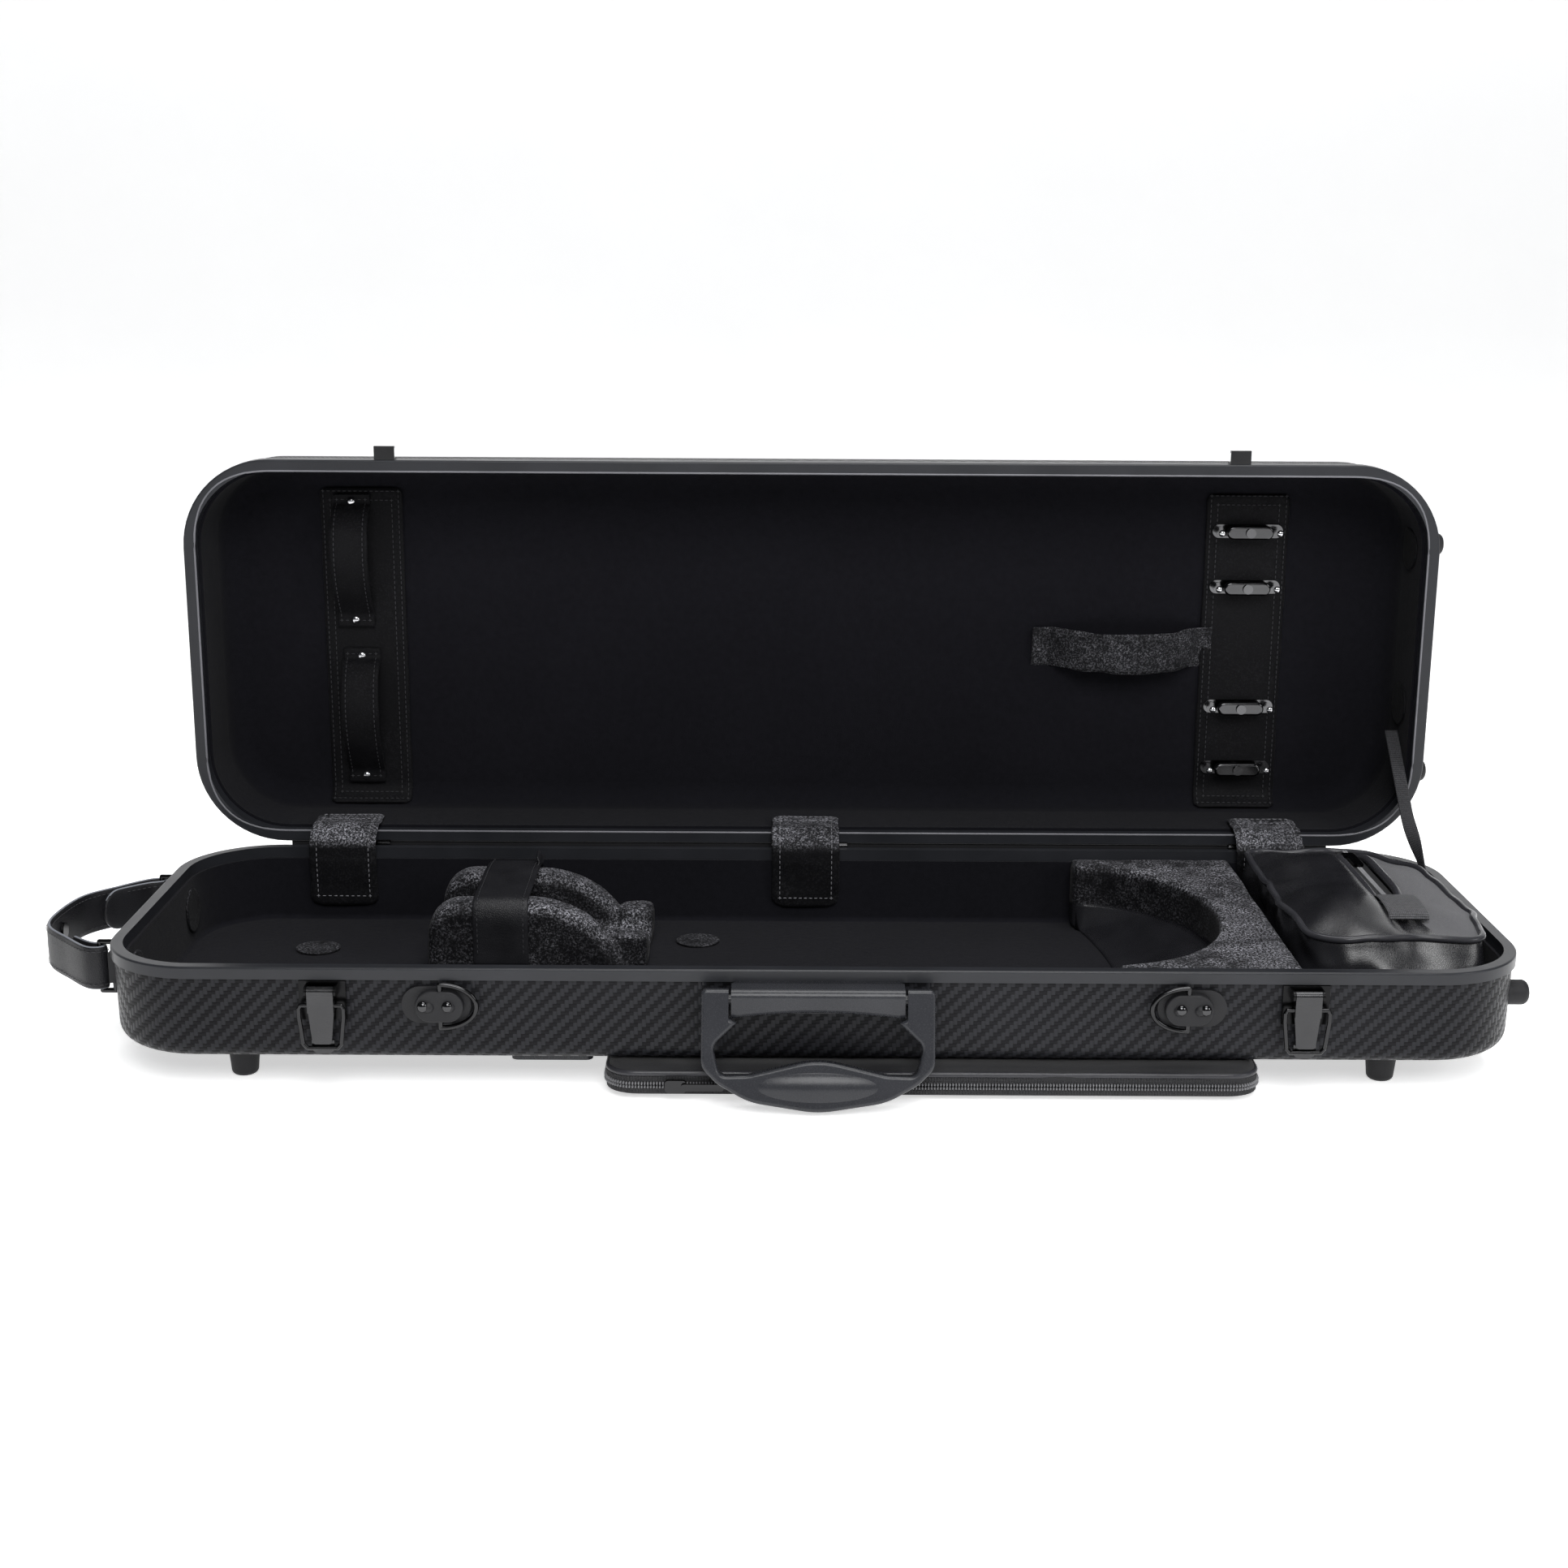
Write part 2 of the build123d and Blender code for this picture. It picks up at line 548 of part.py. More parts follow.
# velvet flaps over the hinges and the tape that stops the lid
def build_soft_links():
    inside = case_width / 2 - lining_set
    back = inside - velvet / 2 - 3
    over = hinge_z + hinge_offset + lining_set + velvet / 2 + 1.0
    path = [(back, floor_z + 10), (back, floor_z + 30), (back, rim_z - 6), (back + 2, rim_z + 6),
            (back + 9, over - 2), (back + 22, over), (back + 44, over + 0.6), (back + 66, over + 2.0)]
    for name, x in cover_places:
        flap = band(across, path, velvet, cover_width)
        parts["hinge_cover_" + name] = Pos(x, 0, 0) * flap
    x = case_length / 2 - lining_set - 2.3
    a, b = Vector(x, case_width / 2 - corner_radius - 8, rim_z - 10), Vector(x, hinge_y + 29, rim_z + 74)
    way = b - a
    flat = Plane(origin=a, x_dir=(0, -way.Z, way.Y), z_dir=way)
    parts["stay_strap"] = flat * Box(9, 1.4, way.length, align=(Align.CENTER, Align.CENTER, Align.MIN))


# music pouch buckled under the base
def build_pouch():
    low, high = pouch_clear, foot_height - 0.4
    body = box(pouch_left, pouch_right, pouch_front, pouch_back, low, high)
    body = fillet(body.edges().filter_by(Axis.Z), 16)
    body = fillet(body.faces().sort_by(Axis.Z)[-1].edges(), 5)
    body = fillet(body.faces().sort_by(Axis.Z)[0].edges(), 5)
    groove = box(pouch_left + 18, pouch_right - 18, pouch_front - 1, pouch_front + 1.6, 5.6, 12.4)
    parts["sheet_pouch"] = body - groove
    y = pouch_front
    tape = box(pouch_left + 19, pouch_right - 19, y + 0.6, y + 1.5, 5.8, 12.2)
    tape += box(pouch_left + 22, pouch_right - 22, y - 0.2, y + 0.8, 7.6, 10.4)
    parts["pouch_zip"] = tape
    x = pouch_left + 40
    slider = box(x - 6, x + 6, y - 2.8, y - 0.5, 5.4, 12.6)
    slider = fillet(slider.edges().filter_by(Axis.Y), 2)
    pull = box(x + 3, x + 27, y - 4.2, y - 2.7, 7, 11)
    parts["pouch_slider"] = slider + fillet(pull.edges().filter_by(Axis.Y), 1.8)
    clip = box(pouch_left - 54, pouch_left - 8, front_y + 17, front_y + 37, foot_height - 5, foot_height - glue)
    clip = fillet(clip.edges().filter_by(Axis.Z), 4)
    clip -= box(pouch_left - 40, pouch_left - 28, front_y + 20, front_y + 34, 0, foot_height + 1)
    parts["pouch_clip"] = clip


# grab strap on the left end, held by two upright rectangular rings
def build_end_strap():
    left = -case_length / 2
    z = rim_z - 20
    ring_x = left - 9.5
    half = strap_width / 2 + 1.8
    mounts = None
    for name, sign in (("front", -1), ("rear", 1)):
        y = sign * (strap_half - 6)
        path = [(ring_x, y, z - half), (ring_x, y, z + half),
                (left - 1.8, y, z + half), (left - 1.8, y, z - half)]
        parts["strap_ring_" + name] = rod(path, 1.5, True)
        mount = box(left - 4.2, left + 8, y - 4, y + 4, z - 9, z + 9)
        mount = mount - base_outside - box(left - 0.1, left + 9, -200, 200, rim_z - rim_height - glue, 200)
        mount -= cylinder((left - 1.8, y, z - 20), (0, 0, 1), 1.5 + glue, 40)
        mounts = mount if mounts is None else mounts + mount
    parts["strap_mounts"] = mounts
    y = strap_half - 6
    path = [(ring_x - 4.0, -y - 1.0), (ring_x - 14, -y + 9), (left - strap_reach + 3, -30),
            (left - strap_reach, 0), (left - strap_reach + 4, 26), (ring_x - 14, y - 12),
            (ring_x - 4.0, y + 1.0)]
    parts["end_strap"] = Pos(0, 0, z) * band(Plane.XY, path, strap_thick, strap_width)
    snap = cylinder((left - strap_reach - strap_thick / 2 - 0.2, 0, z), (-1, 0, 0), 5, 1.6)
    parts["strap_snap"] = snap


for build in (build_shells, build_hinges, build_feet, build_latches, build_rings, build_handle,
              build_cradle, build_bag, build_patches, build_bows, build_soft_links, build_pouch,
              build_end_strap):
    build()

low = [min(getattr(p.bounding_box().min, a) for p in parts.values()) for a in "XYZ"]
high = [max(getattr(p.bounding_box().max, a) for p in parts.values()) for a in "XYZ"]
shift = (-(low[0] + high[0]) / 2, -(low[1] + high[1]) / 2, -low[2])
os.makedirs("parts", exist_ok=True)
for name, part in parts.items():
    export_step(Pos(*shift) * part, "parts/" + name + ".step")
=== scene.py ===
import json
import math

import bmesh
import bpy
import numpy as np
from mathutils import Matrix, Vector, noise


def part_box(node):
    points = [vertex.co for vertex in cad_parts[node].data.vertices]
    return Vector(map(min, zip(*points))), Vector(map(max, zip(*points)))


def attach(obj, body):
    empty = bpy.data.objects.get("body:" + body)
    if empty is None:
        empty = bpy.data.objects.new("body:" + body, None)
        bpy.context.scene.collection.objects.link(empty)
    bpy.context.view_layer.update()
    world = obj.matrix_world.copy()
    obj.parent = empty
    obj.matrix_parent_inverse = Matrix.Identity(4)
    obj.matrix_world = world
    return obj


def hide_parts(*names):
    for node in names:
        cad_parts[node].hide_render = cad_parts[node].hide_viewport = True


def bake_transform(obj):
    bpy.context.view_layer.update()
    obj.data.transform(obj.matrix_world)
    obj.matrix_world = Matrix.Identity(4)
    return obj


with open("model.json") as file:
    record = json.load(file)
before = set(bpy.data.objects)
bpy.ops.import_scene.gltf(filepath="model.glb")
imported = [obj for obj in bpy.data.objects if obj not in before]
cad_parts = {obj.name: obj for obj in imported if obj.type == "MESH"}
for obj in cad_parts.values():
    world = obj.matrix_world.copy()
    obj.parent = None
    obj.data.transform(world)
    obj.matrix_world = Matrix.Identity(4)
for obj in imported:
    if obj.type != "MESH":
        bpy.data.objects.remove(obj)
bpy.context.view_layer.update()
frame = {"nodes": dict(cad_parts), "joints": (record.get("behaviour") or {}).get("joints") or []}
nodes = frame["nodes"]
joints = {j["name"]: j for j in frame["joints"]}
hingeZ = joints["lid_hinge"]["pos_m"][2]
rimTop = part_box("base_rim")[1].z
print("frame loaded")


# ---- shader maths ----

class Amount:
    def __init__(self, tree, socket):
        self.tree, self.socket = tree, socket

    def joined(self, operation, other=0.0, swapped=False):
        pair = (other, self) if swapped else (self, other)
        return self.tree.node("ShaderNodeMath", {"operation": operation}, dict(enumerate(pair)))

    def __add__(self, other):
        return self.joined("ADD", other)

    def __radd__(self, other):
        return self.joined("ADD", other, True)

    def __sub__(self, other):
        return self.joined("SUBTRACT", other)

    def __rsub__(self, other):
        return self.joined("SUBTRACT", other, True)

    def __mul__(self, other):
        return self.joined("MULTIPLY", other)

    def __rmul__(self, other):
        return self.joined("MULTIPLY", other, True)

    def __truediv__(self, other):
        return self.joined("DIVIDE", other)

    def __gt__(self, other):
        return self.joined("GREATER_THAN", other)

    def __lt__(self, other):
        return self.joined("LESS_THAN", other)

    def __abs__(self):
        return self.joined("ABSOLUTE")


class Finish:
    def __init__(self, name):
        self.material = bpy.data.materials.new(name)
        self.material.use_nodes = True
        self.tree = self.material.node_tree
        self.tree.nodes.clear()
        self.output = self.tree.nodes.new("ShaderNodeOutputMaterial")
        self.shader = self.tree.nodes.new("ShaderNodeBsdfPrincipled")
        self.tree.links.new(self.shader.outputs[0], self.output.inputs[0])
        self.place = self.tree.nodes.new("ShaderNodeTexCoord")

    def put(self, socket, value):
        if isinstance(value, Amount):
            self.tree.links.new(value.socket, socket)
        else:
            socket.default_value = value

    def node(self, kind, settings=None, values=None, out=0):
        made = self.tree.nodes.new(kind)
        for key, value in (settings or {}).items():
            if key == "stops":
                ramp = made.color_ramp
                while len(ramp.elements) < len(value):
                    ramp.elements.new(0.5)
                for element, (at, shade) in zip(ramp.elements, value):
                    element.position = at
                    element.color = (shade, shade, shade, 1)
            else:
                setattr(made, key, value)
        for key, value in (values or {}).items():
            self.put(made.inputs[key], value)
        return Amount(self, made.outputs[out])

    def coords(self, which="Object"):
        return Amount(self, self.place.outputs[which])

    def parts(self, vector):
        split = self.node("ShaderNodeSeparateXYZ", None, {0: vector})
        outs = split.socket.node.outputs
        return [Amount(self, outs[i]) for i in range(3)]

    def grain(self, scale, detail=2.0, vector=None, roughness=0.5):
        return self.node("ShaderNodeTexNoise", None, {
            "Vector": vector or self.coords(), "Scale": scale, "Detail": detail,
            "Roughness": roughness})

    def ramp(self, factor, *stops):
        return self.node("ShaderNodeValToRGB", {"stops": stops}, {0: factor})

    def shade(self, factor, dark, light):
        return self.node("ShaderNodeMix", {"data_type": "RGBA"}, {
            0: factor, 6: (*dark, 1), 7: (*light, 1)}, 2)

    def set(self, **values):
        for key, value in values.items():
            self.put(self.shader.inputs[key.replace("_", " ")], value)
        return self

    def relief(self, height, strength, distance=0.001):
        self.set(Normal=self.node("ShaderNodeBump", None, {
            "Strength": strength, "Distance": distance, "Height": height}))
        return self.material


def wallCoords(finish):
    # (across, up) on whichever wall of the shell the point lies
    x, y, z = finish.parts(finish.coords())
    facing = finish.parts(finish.coords("Normal"))
    turned = math.sqrt(0.5)
    onEnd, onFlat = abs(facing[0]) > turned, abs(facing[2]) > turned
    return x + (y - x) * onEnd, z + (y - z) * onFlat


def carbonTwill():
    towWidth = 0.00225
    finish = Finish("carbonTwill")
    across, up = wallCoords(finish)
    u, v = across / towWidth, up / towWidth
    floorU, floorV = u.joined("FLOOR"), v.joined("FLOOR")
    diagonal = ((floorU - floorV) / 4).joined("FRACT")
    over = diagonal < 0.5
    ridgeU = (u.joined("FRACT") * math.pi).joined("SINE")
    ridgeV = (v.joined("FRACT") * math.pi).joined("SINE")
    ridge = ridgeV + (ridgeU - ridgeV) * over
    cloud = finish.grain(9.0, 3.0)
    fibre = finish.grain(900.0, 2.0)
    tone = over * 0.66 + ridge * 0.2 + (fibre - 0.5) * 0.3 + (cloud - 0.5) * 0.7
    finish.set(Base_Color=finish.shade(tone, (0.0018, 0.0018, 0.0026), (0.021, 0.0215, 0.025)),
               Roughness=0.32 + (1 - over) * 0.16 + (cloud - 0.5) * 0.1, Specular_IOR_Level=0.14)
    return finish.relief(ridge + over * 0.6, 0.55, 0.00022)


def rimPlastic():
    finish = Finish("rimExtrusion")
    wear = finish.grain(30.0, 4.0)
    fine = finish.grain(1400.0, 2.0)
    finish.set(Base_Color=finish.shade(wear, (0.012, 0.013, 0.015), (0.026, 0.027, 0.032)),
               Roughness=0.26 + wear * 0.16, Specular_IOR_Level=0.3)
    return finish.relief(fine, 0.12, 0.0002)


def liningFelt():
    finish = Finish("liningFelt")
    fibres = finish.grain(1700.0, 3.0, roughness=0.7)
    tufts = finish.grain(260.0, 3.0)
    cloud = finish.grain(11.0, 2.0)
    tone = fibres * 0.5 + tufts * 0.35 + cloud * 0.3
    finish.set(Base_Color=finish.shade(tone, (0.0012, 0.0012, 0.002), (0.0098, 0.0098, 0.0132)),
               Roughness=0.95, Sheen_Weight=0.03, Sheen_Roughness=0.5, Specular_IOR_Level=0.1)
    return finish.relief(fibres * 0.6 + tufts * 0.6, 0.7, 0.0006)


def crushedVelvet(name, paintedGlintStrength, pile, paintedSideLight=0.35):
    # the last argument sets the painted shade on upright faces: how light their pile is painted,
    # against 1 on faces that look up, which get the painted top light
    finish = Finish(name)
    sparkle = finish.grain(760.0, 3.0, roughness=0.85)
    crush = finish.grain(34.0, 3.0, roughness=0.6)
    streak = finish.grain(150.0, 3.0)
    facing = finish.parts(finish.coords("Normal"))[2]
    # painted light: faces that look up are painted lighter and upright faces darker, as the lamps
    # fall on them
    paintedTopLight = finish.ramp(facing, (0.1, paintedSideLight), (0.75, 1.0))
    # the velvet's crush pattern times the painted top light; it also raises the roughness
    lift = finish.ramp(crush * 0.6 + streak * 0.4, (0.36, 0.12), (0.62, 1.0)) * paintedTopLight
    # painted glints: light grey specks standing in for light caught by the pile; the velvet's first
    # number sets their strength
    paintedGlintMask = finish.ramp(sparkle, (0.50, 0.0), (0.62, 1.0))
    tone = paintedGlintMask * lift * paintedGlintStrength + lift * pile
    finish.set(Base_Color=finish.shade(tone, (0.0018, 0.0018, 0.0026), (0.40, 0.40, 0.44)),
               Roughness=0.62 + lift * 0.2, Sheen_Weight=0.03, Sheen_Roughness=0.35,
               Specular_IOR_Level=0.15)
    return finish.relief(sparkle * 0.7 + streak * 0.6, 0.6, 0.0007)


def blackLeather(name, rough, grainSize, depth, shine):
    finish = Finish(name)
    cells = finish.node("ShaderNodeTexVoronoi", {"feature": "DISTANCE_TO_EDGE"}, {
        "Vector": finish.coords(), "Scale": grainSize}, 0)
    pores = finish.ramp(cells, (0.0, 0.0), (0.22, 1.0))
    cloud = finish.grain(40.0, 4.0)
    finish.set(Base_Color=finish.shade(cloud, (0.004, 0.004, 0.005), (0.018, 0.018, 0.021)),
               Roughness=rough + (1 - pores) * 0.12 + (cloud - 0.5) * 0.15,
               Specular_IOR_Level=shine)
    return finish.relief(pores + cloud * 0.8, depth, 0.0003)


def wovenCloth(name, thread, dark, light):
    finish = Finish(name)
    x, y, z = finish.parts(finish.coords())
    warp = ((x + z * 0.25) * (2 * math.pi / thread)).joined("SINE")
    weft = ((y + z) * (2 * math.pi / thread)).joined("SINE")
    fuzz = finish.grain(800.0, 3.0)
    weave = warp * weft
    finish.set(Base_Color=finish.shade(weave * 0.25 + fuzz * 0.7, dark, light), Roughness=0.8,
               Sheen_Weight=0.1)
    return finish.relief(weave + fuzz * 0.5, 0.5, 0.0002)


def ribbedTape(name, dark, light):
    # ribs across the tape, read from its own UV map in metres
    finish = Finish(name)
    along, over, _ = finish.parts(finish.coords("UV"))
    rib = (along * (2 * math.pi / 0.0016)).joined("SINE")
    warp = (over * (2 * math.pi / 0.0011) + rib * 0.8).joined("SINE")
    fuzz = finish.grain(700.0, 3.0)
    tone = rib * 0.18 + warp * 0.14 + fuzz * 0.7
    finish.set(Base_Color=finish.shade(tone, dark, light), Roughness=0.7)
    return finish.relief(rib + warp * 0.6, 0.7, 0.0003)


def darkMetal(name, tone, rough, brushed=0.0):
    finish = Finish(name)
    stretch = finish.node("ShaderNodeMapping", None, {
        "Vector": finish.coords(), "Scale": (1.0, 1.0, 30.0 if brushed else 1.0)})
    lines = finish.grain(220.0, 3.0, stretch)
    smear = finish.grain(45.0, 3.0)
    low, high = tone * 0.8, tone * 1.15
    finish.set(Base_Color=finish.shade(smear, (low, low, low * 1.03), (high, high, high * 1.03)),
               Metallic=1.0, Roughness=rough + (smear - 0.5) * 0.12 + (lines - 0.5) * brushed)
    return finish.relief(lines, 0.05 + brushed * 0.4, 0.0001)


def mouldedPlastic(name, dark, light, rough):
    finish = Finish(name)
    spark = finish.grain(1300.0, 3.0)
    cloud = finish.grain(30.0, 3.0)
    finish.set(Base_Color=finish.shade(cloud, dark, light), Roughness=rough + (spark - 0.5) * 0.2,
               Specular_IOR_Level=0.3)
    return finish.relief(spark, 0.25, 0.0002)


looks = {
    "carbon": carbonTwill(),
    "rim": rimPlastic(),
    "felt": liningFelt(),
    # velvet numbers: painted glint strength, pile tone, then how light upright faces are painted;
    # the grey of the first velvet is painted glints on black pile
    "velvet": crushedVelvet("velvetGrey", 1.15, 0.018, 0.20),
    "velvetDark": crushedVelvet("velvetBlack", 0.035, 0.001, 0.5),
    "velvetFold": crushedVelvet("velvetCover", 1.1, 0.05, 0.03),
    "velvetPatch": crushedVelvet("velvetPatch", 0.40, 0.012, 0.3),
    "velvetLoop": crushedVelvet("velvetLoop", 0.8, 0.04, 0.5),
    "leather": blackLeather("strapLeather", 0.36, 900.0, 0.35, 0.28),
    "gloss": blackLeather("bagLeatherette", 0.20, 1200.0, 0.12, 0.5),
    "edge": mouldedPlastic("edgePaint", (0.12, 0.13, 0.15), (0.24, 0.25, 0.28), 0.5),
    "nylon": wovenCloth("bagNylon", 0.0007, (0.05, 0.05, 0.055), (0.15, 0.15, 0.16)),
    "pouch": wovenCloth("pouchNylon", 0.0009, (0.002, 0.002, 0.0028), (0.015, 0.015, 0.018)),
    "tape": ribbedTape("webbingTape", (0.006, 0.006, 0.008), (0.055, 0.055, 0.06)),
    "tab": ribbedTape("tabTape", (0.012, 0.012, 0.014), (0.16, 0.16, 0.17)),
    "zipTape": ribbedTape("zipTape", (0.003, 0.003, 0.004), (0.022, 0.022, 0.025)),
    "thread": mouldedPlastic("stitchThread", (0.14, 0.14, 0.15), (0.26, 0.26, 0.28), 0.7),
    "threadDark": mouldedPlastic("stitchThreadDark", (0.020, 0.020, 0.023), (0.055, 0.055, 0.06),
                                 0.7),
    "nickel": darkMetal("blackNickel", 0.040, 0.2),
    "bracket": darkMetal("bracketBlack", 0.016, 0.26),
    "lever": darkMetal("leverSatin", 0.058, 0.24, 0.25),
    "smoked": darkMetal("smokedMetal", 0.11, 0.14),
    "bright": darkMetal("rivetNickel", 0.55, 0.16),
    "spinner": darkMetal("spinnerGloss", 0.07, 0.10),
    # painted highlight: light grey for the tube round the lid's mouth
    "line": mouldedPlastic("beadLine", (0.11, 0.11, 0.12), (0.20, 0.20, 0.22), 0.3),
    "handle": mouldedPlastic("handlePlastic", (0.016, 0.017, 0.020), (0.034, 0.035, 0.040), 0.26),
    "rubber": mouldedPlastic("footRubber", (0.007, 0.007, 0.008), (0.016, 0.016, 0.018), 0.55),
    "coil": mouldedPlastic("zipCoil", (0.08, 0.08, 0.086), (0.26, 0.26, 0.27), 0.32),
    "piping": mouldedPlastic("pipingVinyl", (0.014, 0.014, 0.017), (0.050, 0.050, 0.056), 0.24),
}
print("finishes made")

nodeLooks = {
    "base_shell": "carbon", "lid_shell": "carbon", "base_rim": "rim", "lid_rim": "rim",
    "base_lining": "felt", "lid_lining": "felt", "hinge_leaves_base": "nickel",
    "hinge_leaves_lid": "nickel", "keeper_left": "nickel", "keeper_right": "nickel",
    "spinner_plates": "smoked", "handle_grip": "handle", "handle_mount": "handle",
    "base_feet": "rubber", "end_feet_base": "rubber", "end_feet_lid": "rubber",
    "strap_mounts": "rubber", "strap_ring_front": "nickel", "strap_ring_rear": "nickel",
    "strap_snap": "nickel", "bag_slider": "nickel", "pouch_slider": "nickel",
    "pouch_clip": "handle", "bag_zip": "coil", "pouch_zip": "coil",
}
for side in ("left", "right"):
    nodeLooks.update({"latch_bracket_" + side: "bracket", "latch_lever_" + side: "lever",
                      "latch_bail_" + side: "nickel", "ring_plate_" + side: "rubber",
                      "carry_ring_" + side: "nickel"})
for number in range(1, 5):
    nodeLooks["bow_toggle_%d" % number] = "spinner"
for name, look in nodeLooks.items():
    nodes[name].data.materials.clear()
    nodes[name].data.materials.append(looks[look])


# ---- mesh helpers ----

def placed(name, data):
    made = bpy.data.objects.new(name, data)
    bpy.context.scene.collection.objects.link(made)
    return made


def meshObject(name, verts, faces, look, uvs=None):
    data = bpy.data.meshes.new(name)
    data.from_pydata([tuple(v) for v in verts], [], faces)
    if uvs is not None:
        layer = data.uv_layers.new(name="run")
        for loop in data.loops:
            layer.data[loop.index].uv = uvs[loop.vertex_index]
    data.update()
    data.shade_smooth()
    data.materials.append(looks[look])
    return placed(name, data)


def baked(made):
    # the evaluated mesh in place of the modifiers
    graph = bpy.context.evaluated_depsgraph_get()
    data = bpy.data.meshes.new_from_object(made.evaluated_get(graph))
    made.modifiers.clear()
    if made.type == "MESH":
        made.data = data
        return made
    name = made.name
    fresh = placed(name + "Mesh", data)
    bpy.data.objects.remove(made)
    fresh.name = name
    return fresh


def smoothPath(points, steps=8):
    p = np.array(points, float)
    p = np.vstack([2 * p[0] - p[1], p, 2 * p[-1] - p[-2]])
    out = []
    for i in range(1, len(p) - 2):
        for s in range(steps):
            t = s / steps
            out.append(0.5 * ((2 * p[i]) + (p[i + 1] - p[i - 1]) * t
                              + (2 * p[i - 1] - 5 * p[i] + 4 * p[i + 1] - p[i + 2]) * t * t
                              + (3 * p[i] - p[i - 1] - 3 * p[i + 1] + p[i + 2]) * t ** 3))
    out.append(p[-2])
    return [Vector(q) for q in out]


def strapMesh(name, path, across, width, thick, look, swell=0.0, square=7.0, taper=0.25,
              corners=(0.0, 0.0)):
    # flat strap with rounded edges along the path; UV in metres along and across
    around = 24
    total = len(path)
    runs = [0.0]
    for a, b in zip(path, path[1:]):
        runs.append(runs[-1] + (b - a).length)
    verts, uvs = [], []
    for i, p in enumerate(path):
        side = Vector(across(runs[i] / runs[-1]) if callable(across) else across).normalized()
        tangent = (path[min(i + 1, total - 1)] - path[max(i - 1, 0)]).normalized()
        up = side.cross(tangent).normalized()
        end = min(i, total - 1 - i)
        size = 1 - taper * (1 - min(end, 2) / 2) ** 2
        half = width / 2
        for radius, gone in zip(corners, (runs[i], runs[-1] - runs[i])):
            if gone < radius:
                half -= radius - math.sqrt(max(radius ** 2 - (radius - gone) ** 2, 0))
        for k in range(around):
            a = 2 * math.pi * k / around
            c, s = math.cos(a), math.sin(a)
            reach = math.copysign(abs(c) ** (2 / square), c)
            lift = math.copysign(abs(s) ** (2 / 2.4), s)
            bulge = 1 + swell * (1 - reach * reach)
            verts.append(p + side * reach * half * (1 - (1 - size) * thick / width)
                         + up * lift * thick / 2 * size * bulge)
            uvs.append((runs[i], reach * width / 2))
    faces = []
    for i in range(total - 1):
        for k in range(around):
            a, b = i * around + k, i * around + (k + 1) % around
            faces.append((a, b, b + around, a + around))
    faces.append(tuple(reversed(range(around))))
    faces.append(tuple((total - 1) * around + k for k in range(around)))
    made = meshObject(name, verts, faces, look, uvs)
    facingOut(made)
    return made


def evenPath(points, step):
    out, left = [Vector(points[0])], step
    for a, b in zip(points, points[1:]):
        a, b = Vector(a), Vector(b)
        reach, at = (b - a).length, 0.0
        while reach - at > left:
            at += left
            out.append(a.lerp(b, at / reach))
            left = step
        left -= reach - at
    out.append(Vector(points[-1]))
    return out


def facingOut(made):
    work = bmesh.new()
    work.from_mesh(made.data)
    bmesh.ops.recalc_face_normals(work, faces=work.faces)
    work.to_mesh(made.data)
    work.free()


def tubeMesh(name, path, radius, look, closed=False, around=12):
    total = len(path)
    verts, uvs, run = [], [], 0.0
    up = Vector((0, 0, 1))
    for i, p in enumerate(path):
        if i:
            run += (p - path[i - 1]).length
        before = path[i - 1] if i or closed else p
        after = path[(i + 1) % total] if i + 1 < total or closed else p
        tangent = (after - before).normalized()
        side = tangent.cross(up)
        side = side.normalized() if side.length > 0.05 else Vector((1, 0, 0))
        over = side.cross(tangent)
        for k in range(around):
            a = 2 * math.pi * k / around
            verts.append(p + (side * math.cos(a) + over * math.sin(a)) * radius)
            uvs.append((run, radius * a))
    faces = []
    for i in range(total if closed else total - 1):
        j = (i + 1) % total
        for k in range(around):
            m = (k + 1) % around
            faces.append((i * around + k, i * around + m, j * around + m, j * around + k))
    if not closed:
        faces.append(tuple(range(around)))
        faces.append(tuple((total - 1) * around + k for k in range(around)))
    made = meshObject(name, verts, faces, look, uvs)
    facingOut(made)
    return made


def softened(name, node, look, voxel, rounds, levels=1):
    # rounded, slightly uneven copy of a foam or cloth solid
    data = nodes[node].data.copy()
    made = placed(name, data)
    data.materials.clear()
    data.materials.append(looks[look])
    work = bmesh.new()
    work.from_mesh(data)
    bmesh.ops.remove_doubles(work, verts=work.verts, dist=1e-5)
    work.to_mesh(data)
    work.free()
    remesh = made.modifiers.new("remesh", "REMESH")
    remesh.mode, remesh.voxel_size = "VOXEL", voxel
    soften = made.modifiers.new("soften", "SMOOTH")
    soften.factor, soften.iterations = 0.5, rounds
    if levels:
        finer = made.modifiers.new("finer", "SUBSURF")
        finer.levels = finer.render_levels = levels
    made = baked(made)
    made.data.shade_smooth()
    return made


def wrinkled(made, size, depth, seed):
    normals = [v.normal.copy() for v in made.data.vertices]
    for v, n in zip(made.data.vertices, normals):
        v.co += n * depth * noise.noise(v.co / size + Vector((seed, 0, 0)))
    made.data.update()
    return made


# ---- geometry nodes: beads along paths and at points ----

